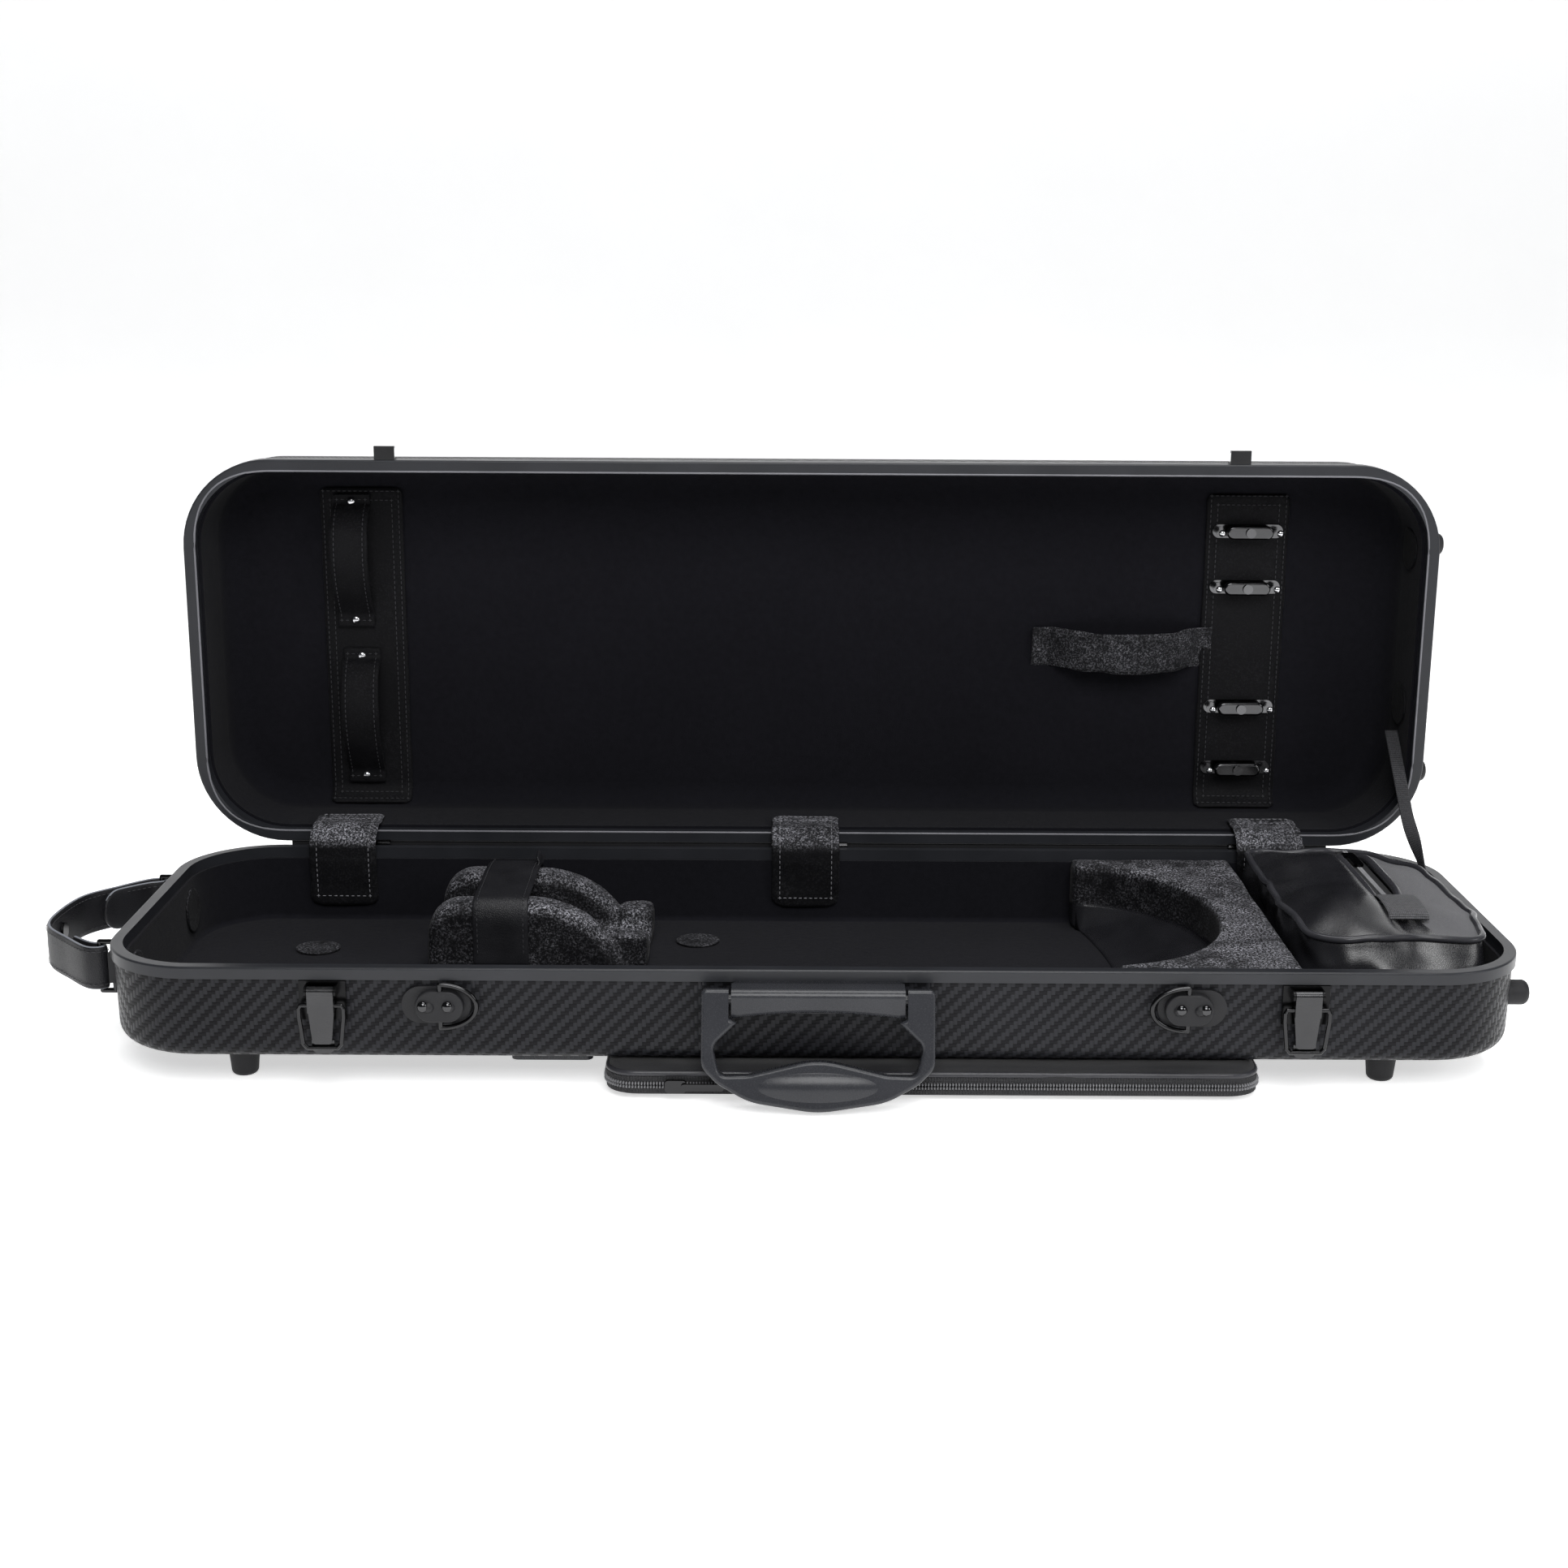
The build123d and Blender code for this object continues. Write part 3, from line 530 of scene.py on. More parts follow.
def ballTree(name, spread, inputs, detail):
    # a ball at every point the spread node gives; inputs are further sockets and their types
    tree = bpy.data.node_groups.new(name, "GeometryNodeTree")
    add, wire = tree.nodes.new, tree.links.new
    sockets = {"Geometry": "Geometry", **inputs, "Ball Size": "Vector", "Finish": "Material"}
    for label, kind in sockets.items():
        tree.interface.new_socket(label, in_out="INPUT", socket_type="NodeSocket" + kind)
    tree.interface.new_socket("Geometry", in_out="OUTPUT", socket_type="NodeSocketGeometry")
    start, end, points = add("NodeGroupInput"), add("NodeGroupOutput"), add(spread)
    ball = add("GeometryNodeMeshUVSphere")
    for label, value in zip(("Segments", "Rings", "Radius"), (*detail, 0.5)):
        ball.inputs[label].default_value = value
    smooth, place = add("GeometryNodeSetShadeSmooth"), add("GeometryNodeInstanceOnPoints")
    real, paint = add("GeometryNodeRealizeInstances"), add("GeometryNodeSetMaterial")
    wire(start.outputs["Geometry"], points.inputs[0])
    wire(points.outputs["Points"], place.inputs["Points"])
    wire(ball.outputs["Mesh"], smooth.inputs["Geometry"])
    wire(smooth.outputs[0], place.inputs["Instance"])
    wire(start.outputs["Ball Size"], place.inputs["Scale"])
    wire(place.outputs["Instances"], real.inputs[0])
    wire(real.outputs[0], paint.inputs["Geometry"])
    wire(start.outputs["Finish"], paint.inputs["Material"])
    wire(paint.outputs[0], end.inputs[0])
    return tree, start, points, place


def beadTree():
    tree, start, points, place = ballTree(
        "beadsAlong", "GeometryNodeCurveToPoints", {"Pitch": "Float"}, (8, 5))
    points.mode = "LENGTH"
    tree.links.new(start.outputs["Pitch"], points.inputs["Length"])
    tree.links.new(points.outputs["Rotation"], place.inputs["Rotation"])
    return tree


studTree = ballTree("studsAt", "GeometryNodeMeshToPoints", {}, (20, 12))[0]
trees = {"beads": beadTree(), "studs": studTree}


def throughTree(made, tree, inputs):
    step = made.modifiers.new("repeat", "NODES")
    step.node_group = tree
    for item in tree.interface.items_tree:
        if item.in_out == "INPUT" and item.name in inputs:
            step[item.identifier] = inputs[item.name]
    return baked(made)


def beadRows(name, rows, pitch, size, look):
    # size is across, across, along, in metres
    curve = bpy.data.curves.new(name, "CURVE")
    curve.dimensions = "3D"
    for row in rows:
        spline = curve.splines.new("POLY")
        spline.points.add(len(row) - 1)
        for point, p in zip(spline.points, row):
            point.co = (*p, 1)
    return throughTree(placed(name, curve), trees["beads"], {
        "Pitch": pitch, "Ball Size": size, "Finish": looks[look]})


def studs(name, points, size, look):
    data = bpy.data.meshes.new(name)
    data.from_pydata([tuple(p) for p in points], [], [])
    return throughTree(placed(name, data), trees["studs"], {
        "Ball Size": size, "Finish": looks[look]})


def shifted(path, across, aside, out):
    # the path moved sideways along across and outwards along its own normal
    across = Vector(across).normalized()
    rows = []
    for i, p in enumerate(path):
        tangent = (path[min(i + 1, len(path) - 1)] - path[max(i - 1, 0)]).normalized()
        up = across.cross(tangent).normalized()
        rows.append(p + across * aside + up * out)
    return rows


stitch = {"pitch": 0.0034, "size": (0.0006, 0.0006, 0.0024), "inset": 0.003}
threads = {"base": [], "lid": []}


def edgeStitches(body, path, across, width, out, ends, skip, inset=stitch["inset"]):
    # rows of thread along both edges, and across the ends where asked
    run = path[skip:len(path) - skip]
    rows = [shifted(run, across, side * (width / 2 - inset), out) for side in (-1, 1)]
    if ends:
        rows += [[rows[0][i], rows[1][i]] for i in (0, -1)]
    threads[body] += rows
    return rows


def clothCut(path):
    # sums the length of a strip's path; the sum is neither kept nor returned
    length = sum((b - a).length for a, b in zip(path, path[1:]))


def ridesOn(made, body, node=None):
    if node:
        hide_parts(*([node] if isinstance(node, str) else node))
    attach(made, body)
    return made


# ---- lid: bow strips, tip loops, finger loop ----

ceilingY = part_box("bow_strip_right")[1].y
stripLook = {"thick": 0.0026, "fillet": 0.0154, "wallDepth": 0.0112, "step": 0.003}
tipLoop = {"width": 0.025, "thick": 0.0022, "crease": 0.0005}
lidLoop = {"width": 0.028, "thick": 0.0024, "crease": 0.0012, "across": (0, 0.18, -1)}


def bowStrips():
    r = stripLook["fillet"] - stripLook["thick"] / 2
    for side in ("left", "right"):
        node = "bow_strip_" + side
        low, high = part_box(node)
        x = (low.x + high.x) / 2
        y = ceilingY - stripLook["thick"] / 2
        centreZ = hingeZ + stripLook["wallDepth"] + stripLook["fillet"]
        points = [(x, y - r + r * math.sin(a), centreZ - r * math.cos(a))
                  for a in (math.radians(d) for d in (22, 34, 46, 58, 70, 82, 90))]
        points += [(x, y, high.z - 0.001)]
        path = evenPath(points, stripLook["step"])
        width = high.x - low.x
        made = strapMesh("bowStrip" + side.capitalize(), path, (1, 0, 0), width,
                         stripLook["thick"], "velvetDark", 0.1, corners=(0.003, 0.003))
        wrinkled(made, 0.02, 0.0005, 3.0)
        for inset in (0.0025, 0.007):
            edgeStitches("lid", path, (1, 0, 0), width, stripLook["thick"] / 2 + 0.0005, True,
                         1 if inset < 0.005 else 3, inset)
        clothCut(path)
        ridesOn(made, "lid", node)


def tipLoops():
    rivets = []
    for which in ("lower", "upper"):
        node = "tip_loop_" + which
        low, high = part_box(node)
        x, a, b = (low.x + high.x) / 2, low.z, high.z
        back = high.y - 0.0012
        out, tall = high.y - low.y - 0.002, b - a
        path = smoothPath([
            (x, back, a - 0.012), (x, back - 0.0002, a - 0.003),
            (x, back - out * 0.30, a + tall * 0.06), (x, back - out * 0.72, a + tall * 0.24),
            (x, back - out, a + tall * 0.50), (x, back - out * 0.86, a + tall * 0.78),
            (x, back - out * 0.40, a + tall * 0.95), (x, back - 0.0004, b + 0.001),
            (x, back, b + 0.008)], 8)
        made = strapMesh("tipLoop" + which.capitalize(), path, (1, 0, 0), tipLoop["width"],
                         tipLoop["thick"], "velvetDark")
        wrinkled(made, 0.012, tipLoop["crease"], 7.0)
        edgeStitches("lid", path, (1, 0, 0), tipLoop["width"], 0.0016, True, 4)
        clothCut(path)
        ridesOn(made, "lid", node)
        rivets += [(x, back - 0.0014, b + 0.003), (x, back - 0.0014, a - 0.007)]
    ridesOn(studs("tipRivets", rivets, (0.0058, 0.0034, 0.0058), "bright"), "lid", None)


def fingerLoop():
    low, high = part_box("lid_loop")
    z, back = (low.z + high.z) / 2, high.y - 0.0012
    x0, x1, out = low.x + 0.001, high.x - 0.001, high.y - low.y - 0.002
    wide = x1 - x0
    path = smoothPath([
        (x0 - 0.012, back, z), (x0, back - 0.0003, z), (x0 + wide * 0.08, back - out * 0.34, z),
        (x0 + wide * 0.26, back - out * 0.80, z - 0.001), (x0 + wide * 0.52, back - out, z - 0.002),
        (x0 + wide * 0.78, back - out * 0.82, z - 0.001), (x0 + wide * 0.93, back - out * 0.36, z),
        (x1, back - 0.0003, z), (x1 + 0.010, back, z)], 10)
    width, across = lidLoop["width"], lidLoop["across"]
    made = strapMesh("lidLoop", path, across, width, lidLoop["thick"], "velvetLoop")
    wrinkled(made, 0.014, lidLoop["crease"], 11.0)
    edgeStitches("lid", path, across, width, 0.0018, False, 6)
    clothCut(path)
    ridesOn(made, "lid", "lid_loop")


# the tube that carries the painted highlight round the lid's mouth
highlightBead = {"inset": 0.0072, "corner": 0.050, "radius": 0.0007, "points": 420}


def lidBead():
    # painted highlight: a thin tube round the mouth of the lid, coloured light grey to stand in for
    # the edge highlight
    low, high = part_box("lid_rim")
    inset, r = highlightBead["inset"], highlightBead["corner"]
    ends = [(low.x + inset, low.z + inset, r), (high.x - inset, low.z + inset, r),
            (high.x - inset, high.z - inset, r), (low.x + inset, high.z - inset, r)]
    loop = [Vector((p.x, low.y + 0.0004, p.y)) for p in roundedLoop(ends, highlightBead["points"])]
    ridesOn(tubeMesh("lidBead", loop, highlightBead["radius"], "line", True, 8), "lid", None)


rearRubber = {"cornerGap": 0.060, "pastLeaf": 0.004, "hingeSpacing": 0.05, "tall": 0.0040,
              "thick": 0.0010, "behind": 0.0025, "below": 0.0016}


def rearLip():
    # rubber lip under the lid's hinge edge, in lengths that end at the hinges
    leaves = sorted(v.co.x for v in nodes["hinge_leaves_lid"].data.vertices)
    low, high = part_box("lid_rim")
    past, corner = rearRubber["pastLeaf"], rearRubber["cornerGap"]
    runs = [(low.x + corner, leaves[0] + past)]
    runs += [(a - past, b + past) for a, b in zip(leaves, leaves[1:])
             if b - a > rearRubber["hingeSpacing"]]
    runs.append((leaves[-1] - past, high.x - corner))
    y, z = low.y + rearRubber["behind"], low.z - rearRubber["below"]
    for number, (a, b) in enumerate(runs, 1):
        path = [Vector((a + (b - a) * i / 40, y, z)) for i in range(41)]
        made = strapMesh("rearLip%d" % number, path, (0, 0, 1), rearRubber["tall"],
                         rearRubber["thick"], "rubber")
        ridesOn(made, "lid", None)


rivet = {"endInset": 0.0042, "bright": (0.0046, 0.0030, 0.0046), "apart": 0.0068,
         "dome": (0.0062, 0.0044, 0.0062)}


def rivetHeads():
    # bright heads on the four spinner plates, dark domes on the two ring plates
    low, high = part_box("spinner_plates")
    heads = []
    for number in range(1, 5):
        a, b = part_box("bow_toggle_%d" % number)
        for x in (low.x + rivet["endInset"], high.x - rivet["endInset"]):
            heads.append((x, low.y + 0.0004, (a.z + b.z) / 2))
    ridesOn(studs("spinnerRivets", heads, rivet["bright"], "bright"), "lid", None)
    for side in ("left", "right"):
        a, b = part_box("ring_plate_" + side)
        x, z = (a.x + b.x) / 2, (a.z + b.z) / 2
        domes = [(x + way * rivet["apart"], a.y + 0.0016, z + 0.0006) for way in (-1, 1)]
        made = studs("plateRivets" + side.capitalize(), domes, rivet["dome"], "spinner")
        ridesOn(made, "base", None)


# ---- flaps over the hinges, and the stay ----

cover = {"thick": 0.0017, "crease": 0.0008, "step": 0.0016, "seam": 0.005,
         "corners": (0.007, 0.003)}


def hingeCovers():
    for side in ("left", "middle", "right"):
        node = "hinge_cover_" + side
        low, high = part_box(node)
        x, width = (low.x + high.x) / 2, high.x - low.x
        y0, z0, z1 = low.y + 0.0008, low.z, high.z - 0.0008
        path = evenPath(smoothPath([
            (x, y0 + 0.0014, z0), (x, y0 + 0.0008, z0 + 0.012), (x, y0, z0 + 0.026),
            (x, y0, rimTop - 0.006), (x, y0 + 0.0014, rimTop + 0.004),
            (x, y0 + 0.0085, z1 - 0.0042), (x, y0 + 0.016, z1 - 0.0014),
            (x, y0 + 0.024, z1 - 0.0018), (x, y0 + 0.032, z1 - 0.0010),
            (x, y0 + 0.040, z1 - 0.0012)], 10), cover["step"])
        made = strapMesh("hingeCover" + side.capitalize(), path, (1, 0, 0), width, cover["thick"],
                         "velvetFold", 0.1, corners=cover["corners"])
        wrinkled(made, 0.011, cover["crease"], 17.0)
        rows = [shifted(path[4:-4], (1, 0, 0), s * (width / 2 - cover["seam"]), 0.0015)
                for s in (-1, 1)]
        rows += [[rows[0][i], rows[1][i]] for i in (0, -1, -6)]
        seam = beadRows("coverStitch" + side.capitalize(), rows, stitch["pitch"], stitch["size"],
                        "thread")
        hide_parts(node)
        clothCut(path)
        for piece in (made, seam):
            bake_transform(piece)


stay = {"width": 0.0085, "thick": 0.0013, "lean": 0.0042, "points": 60}


def eased(t, start, run):
    # 0 up to start, then smoothly up to 1 over the run
    way = max(0.0, min(1.0, (t - start) / run))
    return way * way * (3 - 2 * way)


def lidStay():
    # the tape lies along the end wall below and turns to face forward above
    low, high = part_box("stay_strap")
    x = (low.x + high.x) / 2
    a, b = Vector((x, low.y + 0.003, low.z + 0.003)), Vector((x, high.y - 0.003, high.z - 0.003))
    flat = (b - a).normalized().cross(Vector((1, 0, 0)))

    def turned(t):
        angle = eased(t, 0.12, 0.38) * math.pi / 2
        return flat * math.cos(angle) + Vector((-1, 0, 0)) * math.sin(angle)

    path = []
    for i in range(stay["points"] + 1):
        t = i / stay["points"]
        path.append(a.lerp(b, t) - Vector((stay["lean"] * eased(t, 0.10, 0.4), 0, 0)))
    made = strapMesh("stayTape", path, turned, stay["width"], stay["thick"], "tape")
    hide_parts("stay_strap")
    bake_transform(made)


# ---- base: neck cradle, strap, end block ----

foam = {"cradleVoxel": 0.0022, "cradleDent": 0.0009, "blockVoxel": 0.0026, "blockDent": 0.0008,
        "fill": 0.9}


def cradleAndBlock():
    cradle = softened("neckCradle", "neck_cradle", "velvet", foam["cradleVoxel"], 6)
    wrinkled(cradle, 0.03, foam["cradleDent"], 1.0)
    ridesOn(cradle, "base", "neck_cradle")
    block = softened("endBlock", "end_block", "velvet", foam["blockVoxel"], 5)
    wrinkled(block, 0.04, foam["blockDent"], 5.0)
    low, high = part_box("end_block")
    block.data.materials.append(looks["gloss"])
    size = high - low
    for poly in block.data.polygons:
        c = poly.center
        inner = poly.normal.x < -0.3 and c.x < high.x - 0.02
        seam = 0.36 + 0.25 * (high.y - c.y) / size.y
        if inner and c.z < low.z + size.z * seam:
            poly.material_index = 1
    ridesOn(block, "base", "end_block")

    # shallow bowl below the seam of the recess
    bowl = {"setBack": 0.006, "reachX": 0.0802, "reachY": 0.0990, "seam": 0.40, "lip": 0.022}
    floorZ = low.z - 0.0001
    seamZ = low.z + size.z * bowl["seam"]
    middle = Vector((low.x - bowl["setBack"], (low.y + high.y) / 2))
    rows, columns = 14, 40
    verts = []
    for j in range(columns + 1):
        a = math.radians(-84 + 168 * j / columns)
        rim = middle + Vector((bowl["reachX"] * math.cos(a), bowl["reachY"] * math.sin(a)))
        lip = middle + Vector((bowl["lip"] - 0.011 * math.sin(a) ** 2,
                               bowl["reachY"] * 0.96 * math.sin(a)))
        for i in range(rows + 1):
            t = i / rows
            p = lip.lerp(rim, t)
            verts.append((p.x, p.y, floorZ + 0.0006 + (seamZ - floorZ) * t ** 1.7))
        for i in range(rows + 1):
            p = lip.lerp(rim, i / rows)
            verts.append((p.x, p.y, floorZ))
    faces, ring = [], 2 * (rows + 1)
    for j in range(columns):
        a, b = j * ring, (j + 1) * ring
        for i in range(rows):
            faces.append((a + i, a + i + 1, b + i + 1, b + i))
            faces.append((a + rows + 1 + i, b + rows + 1 + i, b + rows + 2 + i, a + rows + 2 + i))
        faces.append((a, b, b + rows + 1, a + rows + 1))
        faces.append((a + rows, a + 2 * rows + 1, b + 2 * rows + 1, b + rows))
    for a in (0, columns * ring):
        faces.append(tuple(a + i for i in range(rows + 1))
                     + tuple(a + rows + 1 + i for i in reversed(range(rows + 1))))
    ramp = meshObject("blockBowl", verts, faces, "gloss")
    facingOut(ramp)
    ridesOn(ramp, "base", None)


strap = {"width": 0.034, "thick": 0.0022, "tongueWidth": 0.012, "tongueThick": 0.0016}


def neckStrap():
    low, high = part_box("neck_strap")
    x = (low.x + high.x) / 2
    y0, y1, top = low.y + 0.0012, high.y - 0.0012, high.z - 0.0012
    middle = (y0 + y1) / 2
    path = smoothPath([
        (x, y0, low.z - 0.006), (x, y0 - 0.0002, low.z + 0.012), (x, y0 + 0.0002, top - 0.010),
        (x, y0 + 0.004, top - 0.0025), (x, y0 + 0.014, top - 0.0006), (x, middle - 0.012, top),
        (x, middle + 0.012, top + 0.001), (x, y1 - 0.014, top - 0.0004),
        (x, y1 - 0.004, top - 0.0025), (x, y1, top - 0.012), (x, y1, low.z + 0.02)], 8)
    made = strapMesh("neckStrap", path, (1, 0, 0), strap["width"], strap["thick"], "leather", 0.15)
    edgeStitches("base", path, (1, 0, 0), strap["width"], 0.0017, False, 4)
    ridesOn(made, "base", "neck_strap")
    # pointed tongue folded up at the strap's rear corner
    tip = Vector((x + 0.0145, y1 - 0.012, top + 0.006))
    foot = Vector((x + 0.0145, y1 - 0.016, top + 0.0005))
    fold = smoothPath([foot, foot.lerp(tip, 0.5) + Vector((0.0015, 0, 0)), tip,
                       tip + Vector((0.002, 0.003, -0.005)), foot + Vector((0.003, 0.012, 0.0))], 6)
    tongue = strapMesh("neckTongue", fold, (0, 1, 0.2), strap["tongueWidth"],
                       strap["tongueThick"], "leather")
    ridesOn(tongue, "base", None)


# ---- accessory bag ----

bag = {"crown": 0.0045, "leftCrown": 0.0125, "valley": 0.0105, "bulge": 0.004, "piping": 0.0022,
       "wave": 0.0035, "frontSet": 0.017}


def roundedLoop(corners, count):
    # corners are (x, y, radius), anticlockwise; gives evenly spaced points
    run = []
    total = len(corners)
    for i, (x, y, r) in enumerate(corners):
        p = Vector((x, y))
        before = (Vector(corners[i - 1][:2]) - p).normalized()
        after = (Vector(corners[(i + 1) % total][:2]) - p).normalized()
        half = before.angle(after) / 2
        cut = min(r / math.tan(half), 0.06)
        a, b = p + before * cut, p + after * cut
        for s in range(13):
            t = s / 12
            run.append(a.lerp(p, t).lerp(p.lerp(b, t), t))
    lengths = [0.0]
    for i in range(len(run)):
        lengths.append(lengths[-1] + (run[(i + 1) % len(run)] - run[i]).length)
    out, k = [], 0
    for i in range(count):
        target = lengths[-1] * i / count
        while lengths[k + 1] < target:
            k += 1
        t = (target - lengths[k]) / max(lengths[k + 1] - lengths[k], 1e-9)
        out.append(run[k].lerp(run[(k + 1) % len(run)], t))
    return out


def accessoryBag():
    low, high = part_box("accessory_bag")
    zipLow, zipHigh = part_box("bag_zip")
    zipX = (zipLow.x + zipHigh.x) / 2
    top = high.z - 0.001
    front = low.y + bag["frontSet"]
    outer = roundedLoop([
        (low.x + 0.001, high.y, 0.014), (low.x - 0.002, front + 0.07, 0.06),
        (low.x + 0.004, front, 0.028), (high.x - 0.006, front, 0.012),
        (high.x + 0.001, front + 0.05, 0.05),
        (high.x - 0.004, high.y - 0.045, 0.04), (high.x - 0.034, high.y, 0.04)], 160)
    centre = Vector((zipX, (front + high.y) / 2))
    outer = [p + (p - centre).normalized() * bag["wave"]
             * (noise.noise(Vector((p.x * 42, p.y * 42, 6))) - 0.3) for p in outer]

    def edgeLift(p):
        return 0.0026 * noise.noise(Vector((p.x * 38, p.y * 38, 1)))

    verts, faces, rings = [], [], 28
    count = len(outer)

    def topHeight(p, s):
        left = p.x < zipX
        edge = 1 - s ** (2.5 if left else 3.2)
        valley = min(1.0, 1.35 * math.exp(-((p.x - zipX) / bag["valley"]) ** 2))
        puff = 0.0085 * math.exp(-((p.x - low.x - 0.026) / 0.020) ** 2
                                 - ((p.y - front - 0.034) / 0.034) ** 2)
        sag = 0.0022 * noise.noise(Vector((p.x * 30, p.y * 16, 4.0)))
        crease = 0.0012 * noise.noise(Vector((p.x * 90, p.y * 30, 9.0)))
        crown = (bag["leftCrown"] if left else bag["crown"]) + puff + sag + crease
        return top + edgeLift(p) * s ** 3 + edge * crown * (1 - valley)

    verts.append(Vector((*centre, topHeight(centre, 0))))
    for r in range(1, rings + 1):
        s = r / rings
        for p in outer:
            q = centre.lerp(p, s)
            verts.append(Vector((q.x, q.y, topHeight(q, s))))
    for k in range(count):
        faces.append((0, 1 + k, 1 + (k + 1) % count))
    depth = top - low.z - 0.0015
    levels = 18
    for r in range(1, levels + 1):
        t = r / levels
        for k, p in enumerate(outer):
            away = (p - centre).normalized()
            fold = noise.noise(Vector((p.x * 36, p.y * 36, t * 2.5)))
            fine = noise.noise(Vector((p.x * 95, p.y * 95, t * 5.0 + 7)))
            swell = bag["bulge"] * math.sin(math.pi * t) * (0.5 + 1.1 * fold + 0.5 * fine)
            q = p + away * swell
            lean = max(0.0, (centre.y - p.y) / (centre.y - front))
            q.y -= lean ** 3 * bag["frontSet"] * min(1.0, t * 1.25) * 0.9
            q.x, q.y = max(q.x, low.x - 0.002), min(max(q.y, low.y), high.y)
            if t > 0.88:
                q = q.lerp(centre, 0.04 * (t - 0.88) / 0.12)
            verts.append(Vector((q.x, q.y, top - 0.0015 - depth * t + edgeLift(p) * (1 - t) ** 3)))
    totalRings = rings + levels
    for r in range(totalRings - 1):
        a, b = 1 + r * count, 1 + (r + 1) * count
        for k in range(count):
            m = (k + 1) % count
            faces.append((a + k, b + k, b + m, a + m))
    last = 1 + (totalRings - 1) * count
    faces.append(tuple(last + k for k in reversed(range(count))))
    body = meshObject("accessoryBag", verts, faces, "gloss")
    facingOut(body)
    body.data.materials.append(looks["nylon"])
    for poly in body.data.polygons:
        if poly.center.x > zipX + 0.010 and poly.normal.z > 0.5 and poly.center.z > top - 0.002:
            poly.material_index = 1
    finer = body.modifiers.new("finer", "SUBSURF")
    finer.levels = finer.render_levels = 1
    body = baked(body)
    ridesOn(body, "base", "accessory_bag")

    rope = [Vector((p.x, p.y, top + 0.0004 + edgeLift(p))) for p in outer]
    piping = tubeMesh("bagPiping", rope, bag["piping"], "piping", True)
    ridesOn(piping, "base", None)

    # zip: two tapes, the coil between them and a folded lip each side
    y0, y1 = zipLow.y, zipHigh.y
    bed = top + 0.0012
    steps = 40
    for side, name in ((-1, "Left"), (1, "Right")):
        path = [Vector((zipX + side * 0.0036, y0 + (y1 - y0) * i / steps, bed + 0.0006))
                for i in range(steps + 1)]
        tape = strapMesh("zipTape" + name, path, (1, 0, 0), 0.005, 0.0009, "zipTape")
        ridesOn(tape, "base", None)
        lip = []
        for i in range(steps + 1):
            tuck = (2 * i / steps - 1) ** 6
            lip.append(Vector((zipX + side * (0.0088 - 0.003 * tuck),
                               y0 - 0.003 + (y1 - y0 - 0.004) * i / steps,
                               bed + 0.0030 - 0.0052 * tuck)))
        ridesOn(tubeMesh("zipLip" + name, lip, 0.0026, "piping"), "base", None)
    coil = [[(zipX + side * 0.0007, y0, bed + 0.0013), (zipX + side * 0.0007, y1, bed + 0.0013)]
            for side in (-1, 1)]
    made = beadRows("bagZipCoil", coil, 0.0011, (0.0022, 0.0012, 0.0007), "coil")
    ridesOn(made, "base", "bag_zip")

    low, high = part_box("bag_pull_tab")
    x = (low.x + high.x) / 2
    tabTop = top + 0.0085
    path = smoothPath([
        (x, high.y - 0.002, top + 0.003), (x, high.y - 0.005, top + 0.007),
        (x, high.y - 0.014, tabTop), (x, (low.y + high.y) / 2, tabTop),
        (x, low.y + 0.010, tabTop - 0.001), (x, low.y + 0.004, top + 0.0062),
        (x, low.y + 0.001, top + 0.0035)], 8)
    made = strapMesh("bagPullTab", path, (1, 0, 0), 0.0235, 0.0016, "tab")
    ridesOn(made, "base", "bag_pull_tab")


# ---- velvet patches ----

def patches():
    for name, node, body, look in (("floorPatches", "floor_patches", "base", "velvetPatch"),
                                   ("wallPatches", "wall_patches", "base", "velvetPatch"),
                                   ("lidPatches", "lid_patches", "lid", "velvetDark")):
        ridesOn(softened(name, node, look, 0.0006, 3, 0), body, node)


# ---- music pouch under the base ----

pouch = {"corner": 0.016, "sideRun": 0.19, "zipRun": 0.10, "upperCord": 0.0017, "lowerCord": 0.0014,
         "fill": 0.5}


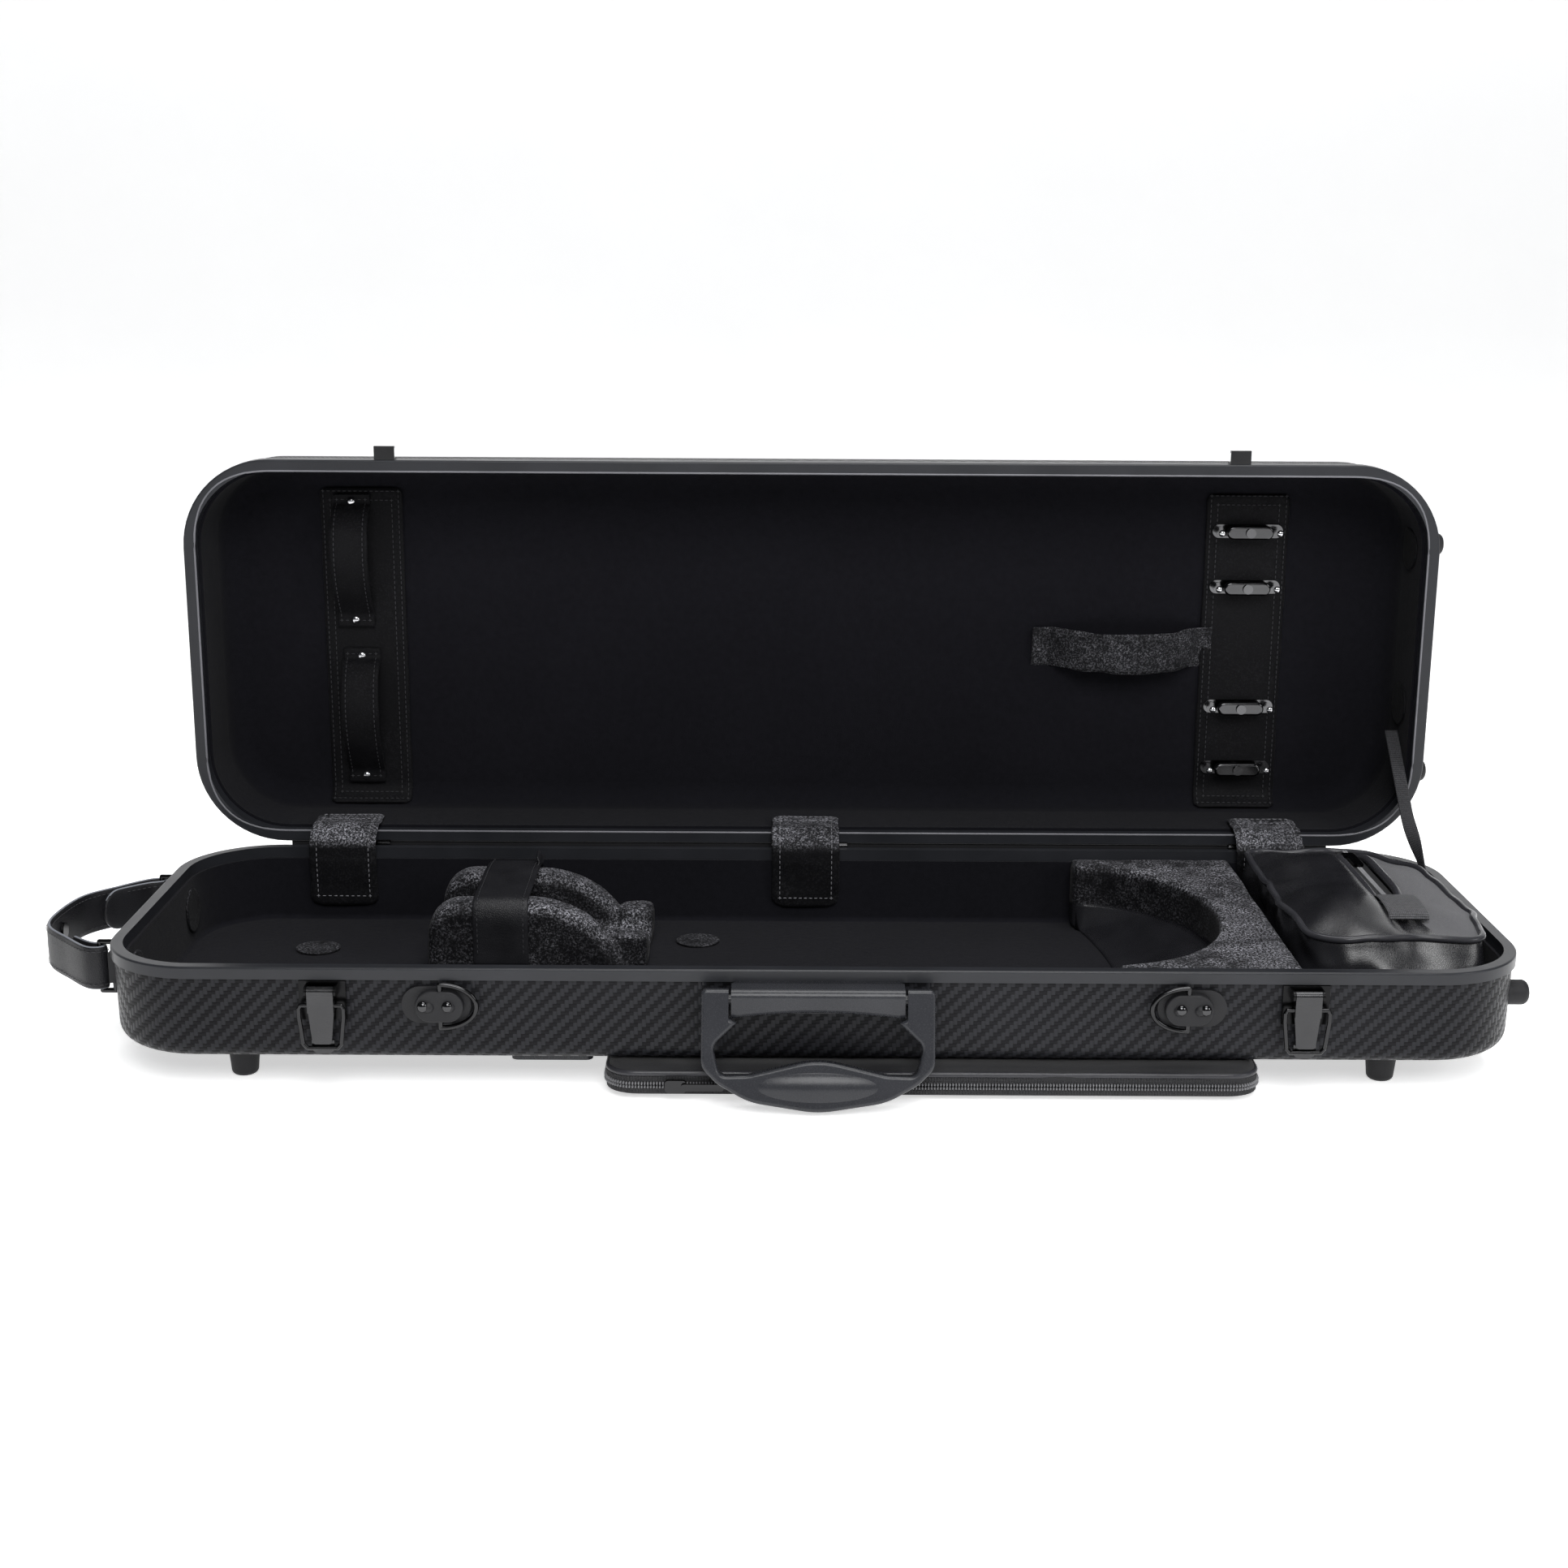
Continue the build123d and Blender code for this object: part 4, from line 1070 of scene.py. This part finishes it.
def musicPouch():
    body = softened("musicPouch", "sheet_pouch", "pouch", 0.0028, 8, 0)
    low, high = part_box("sheet_pouch")
    middle = (low.z + high.z) / 2
    for v in body.data.vertices:
        fold = noise.noise(Vector((v.co.x * 22, v.co.z * 60, 2.0)))
        if v.co.z > middle and v.co.y < low.y + 0.02:
            v.co.y += 0.0012 * fold
        v.co.z += 0.0006 * noise.noise(v.co * 24) * (1 if v.co.z > low.z + 0.003 else 0)
    body.data.update()
    ridesOn(body, "base", "sheet_pouch")

    def around(inset, z, reach):
        x0, x1, y = low.x + inset, high.x - inset, low.y + inset
        r = pouch["corner"] - inset
        points = [(x0, y + reach), (x0, y + r)]
        points += [(x0 + r - r * math.cos(a), y + r - r * math.sin(a))
                   for a in (math.pi * k / 16 for k in range(1, 8))]
        points += [(x0 + r, y), (x0 + (x1 - x0) * 0.33, y), (x0 + (x1 - x0) * 0.66, y), (x1 - r, y)]
        points += [(x1 - r + r * math.sin(a), y + r - r * math.cos(a))
                   for a in (math.pi * k / 16 for k in range(1, 8))]
        points += [(x1, y + r), (x1, y + reach)]
        return evenPath([(px, py, z) for px, py in points], 0.0035)

    for end, inset, height, cord in (("Upper", 0.0016, high.z - 0.0042, pouch["upperCord"]),
                                     ("Lower", 0.0022, low.z + 0.0040, pouch["lowerCord"])):
        made = tubeMesh("pouchPiping" + end, around(inset, height, pouch["sideRun"]), cord, "piping")
        ridesOn(made, "base", None)
    zipZ = (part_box("pouch_zip")[0].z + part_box("pouch_zip")[1].z) / 2
    path = around(0.0002, zipZ, pouch["zipRun"])
    for side, name in ((-1, "Lower"), (1, "Upper")):
        line = [p + Vector((0, 0, side * 0.0030)) for p in around(0.0007, zipZ, pouch["zipRun"])]
        tape = strapMesh("pouchTape" + name, line, (0, 0, 1), 0.0042, 0.0009, "zipTape")
        ridesOn(tape, "base", None)
    rows = [[p + Vector((0, 0, side * 0.0010)) for p in path] for side in (-1, 1)]
    made = beadRows("pouchZipCoil", rows, 0.0017, (0.0028, 0.0020, 0.0011), "coil")
    ridesOn(made, "base", "pouch_zip")


# ---- grab strap on the left end ----

def endStrap():
    low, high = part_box("end_strap")
    z = (low.z + high.z) / 2
    width = high.z - low.z
    front, rear = (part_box("strap_ring_" + s) for s in ("front", "rear"))
    barX = front[0].x + 0.0015
    frontY, rearY = (front[0].y + front[1].y) / 2, (rear[0].y + rear[1].y) / 2
    out = low.x - 0.0035
    path = smoothPath([
        (barX - 0.0215, frontY + 0.0190, z), (barX - 0.0165, frontY + 0.0135, z),
        (barX - 0.0075, frontY + 0.0060, z), (barX - 0.0010, frontY + 0.0037, z),
        (barX + 0.0033, frontY, z), (barX - 0.0010, frontY - 0.0037, z),
        (barX - 0.0090, frontY - 0.0012, z), (barX - 0.0230, frontY + 0.0140, z),
        (out + 0.0040, frontY + 0.036, z), (out, (frontY + rearY) / 2 - 0.006, z),
        (out + 0.0050, rearY - 0.036, z), (barX - 0.0240, rearY - 0.0150, z),
        (barX - 0.0090, rearY + 0.0012, z), (barX - 0.0010, rearY + 0.0037, z),
        (barX + 0.0033, rearY, z), (barX - 0.0010, rearY - 0.0037, z),
        (barX - 0.0075, rearY - 0.0068, z), (barX - 0.0200, rearY - 0.0185, z),
        (barX - 0.0285, rearY - 0.0310, z)], 12)
    path = evenPath(path, 0.0014)
    made = strapMesh("endStrap", path, (0, 0, 1), width, 0.0026, "leather", 0.15,
                     corners=(0.004, 0.012))
    made.data.materials.append(looks["edge"])
    for poly in made.data.polygons:
        if abs(poly.normal.z) > 0.62:
            poly.material_index = 1
    run = path[8:-8]
    for across in ((0, 0, 1), (0, 0, -1)):
        edgeStitches("base", run, across, width, 0.0017, False, 6)
    ridesOn(made, "base", "end_strap")


for make in (bowStrips, tipLoops, fingerLoop, lidBead, rearLip, rivetHeads, hingeCovers, lidStay,
             cradleAndBlock, neckStrap, accessoryBag, patches, musicPouch, endStrap):
    make()
    print("made", make.__name__)

for body, rows in threads.items():
    made = beadRows(body + "Stitches", rows, stitch["pitch"], stitch["size"], "threadDark")
    ridesOn(made, body, None)


# ---- studio ----

def studio():
    # one pale sheet: floor, a wide bend and a wall far behind
    bend, depth, side, wall = 1.6, 4.0, 9.0, 9.0
    profile = [(-side, 0.0), (depth, 0.0)]
    profile += [(depth + bend * math.sin(a), bend - bend * math.cos(a))
                for a in (math.pi / 2 * k / 12 for k in range(1, 13))]
    profile.append((depth + bend, wall))
    verts = [(x, y, z) for y, z in profile for x in (-side, side)]
    faces = [(2 * i, 2 * i + 1, 2 * i + 3, 2 * i + 2) for i in range(len(profile) - 1)]
    data = bpy.data.meshes.new("studioFloor")
    data.from_pydata(verts, [], faces)
    data.shade_smooth()
    floor = placed("studioFloor", data)
    pale = Finish("paleFloor")
    tone = pale.shade(pale.grain(3.0), (0.93, 0.93, 0.93), (0.96, 0.96, 0.96))
    pale.set(Base_Color=tone, Roughness=0.95, Emission_Color=tone, Emission_Strength=0.62,
             Specular_IOR_Level=0.0)
    data.materials.append(pale.material)
    world = bpy.data.worlds.new("studioSky")
    world.use_nodes = True
    world.node_tree.nodes["Background"].inputs[0].default_value = (0.9, 0.94, 1.0, 1)
    world.node_tree.nodes["Background"].inputs[1].default_value = 0.10
    bpy.context.scene.world = world
    aim = Vector((0, 0, 0.1))
    for name, place, size, power in (("keyLight", (0.15, -1.9, 1.7), 1.3, 40),
                                     ("topLight", (0.3, 0.0, 2.2), 1.3, 30),
                                     ("sideLight", (1.9, -1.2, 1.1), 0.8, 12)):
        lamp = bpy.data.lights.new(name, "AREA")
        lamp.size, lamp.energy = size, power
        holder = placed(name, lamp)
        holder.location = place
        holder.rotation_euler = (aim - Vector(place)).to_track_quat("-Z", "Y").to_euler()


def camera():
    view = {"place": (0.00175, -1.3020, 0.471), "down": 14.10, "turn": 0.116, "roll": 0.33,
            "lens": 50.57}
    down, turn, roll = (math.radians(view[key]) for key in ("down", "turn", "roll"))
    ahead = Vector((math.sin(turn) * math.cos(down), math.cos(turn) * math.cos(down),
                    -math.sin(down)))
    level = Vector((math.cos(turn), -math.sin(turn), 0))
    over = level.cross(ahead)
    right = level * math.cos(roll) + over * math.sin(roll)
    up = over * math.cos(roll) - level * math.sin(roll)
    data = bpy.data.cameras.new("camera")
    data.lens, data.sensor_width = view["lens"], 36.0
    data.clip_start = 0.05
    holder = placed("camera", data)
    holder.matrix_world = Matrix((right, up, -ahead)).transposed().to_4x4()
    holder.location = view["place"]
    bpy.context.scene.camera = holder


studio()
camera()
bpy.context.scene.view_settings.view_transform = "Standard"
bpy.context.view_layer.update()
print("scene finished")
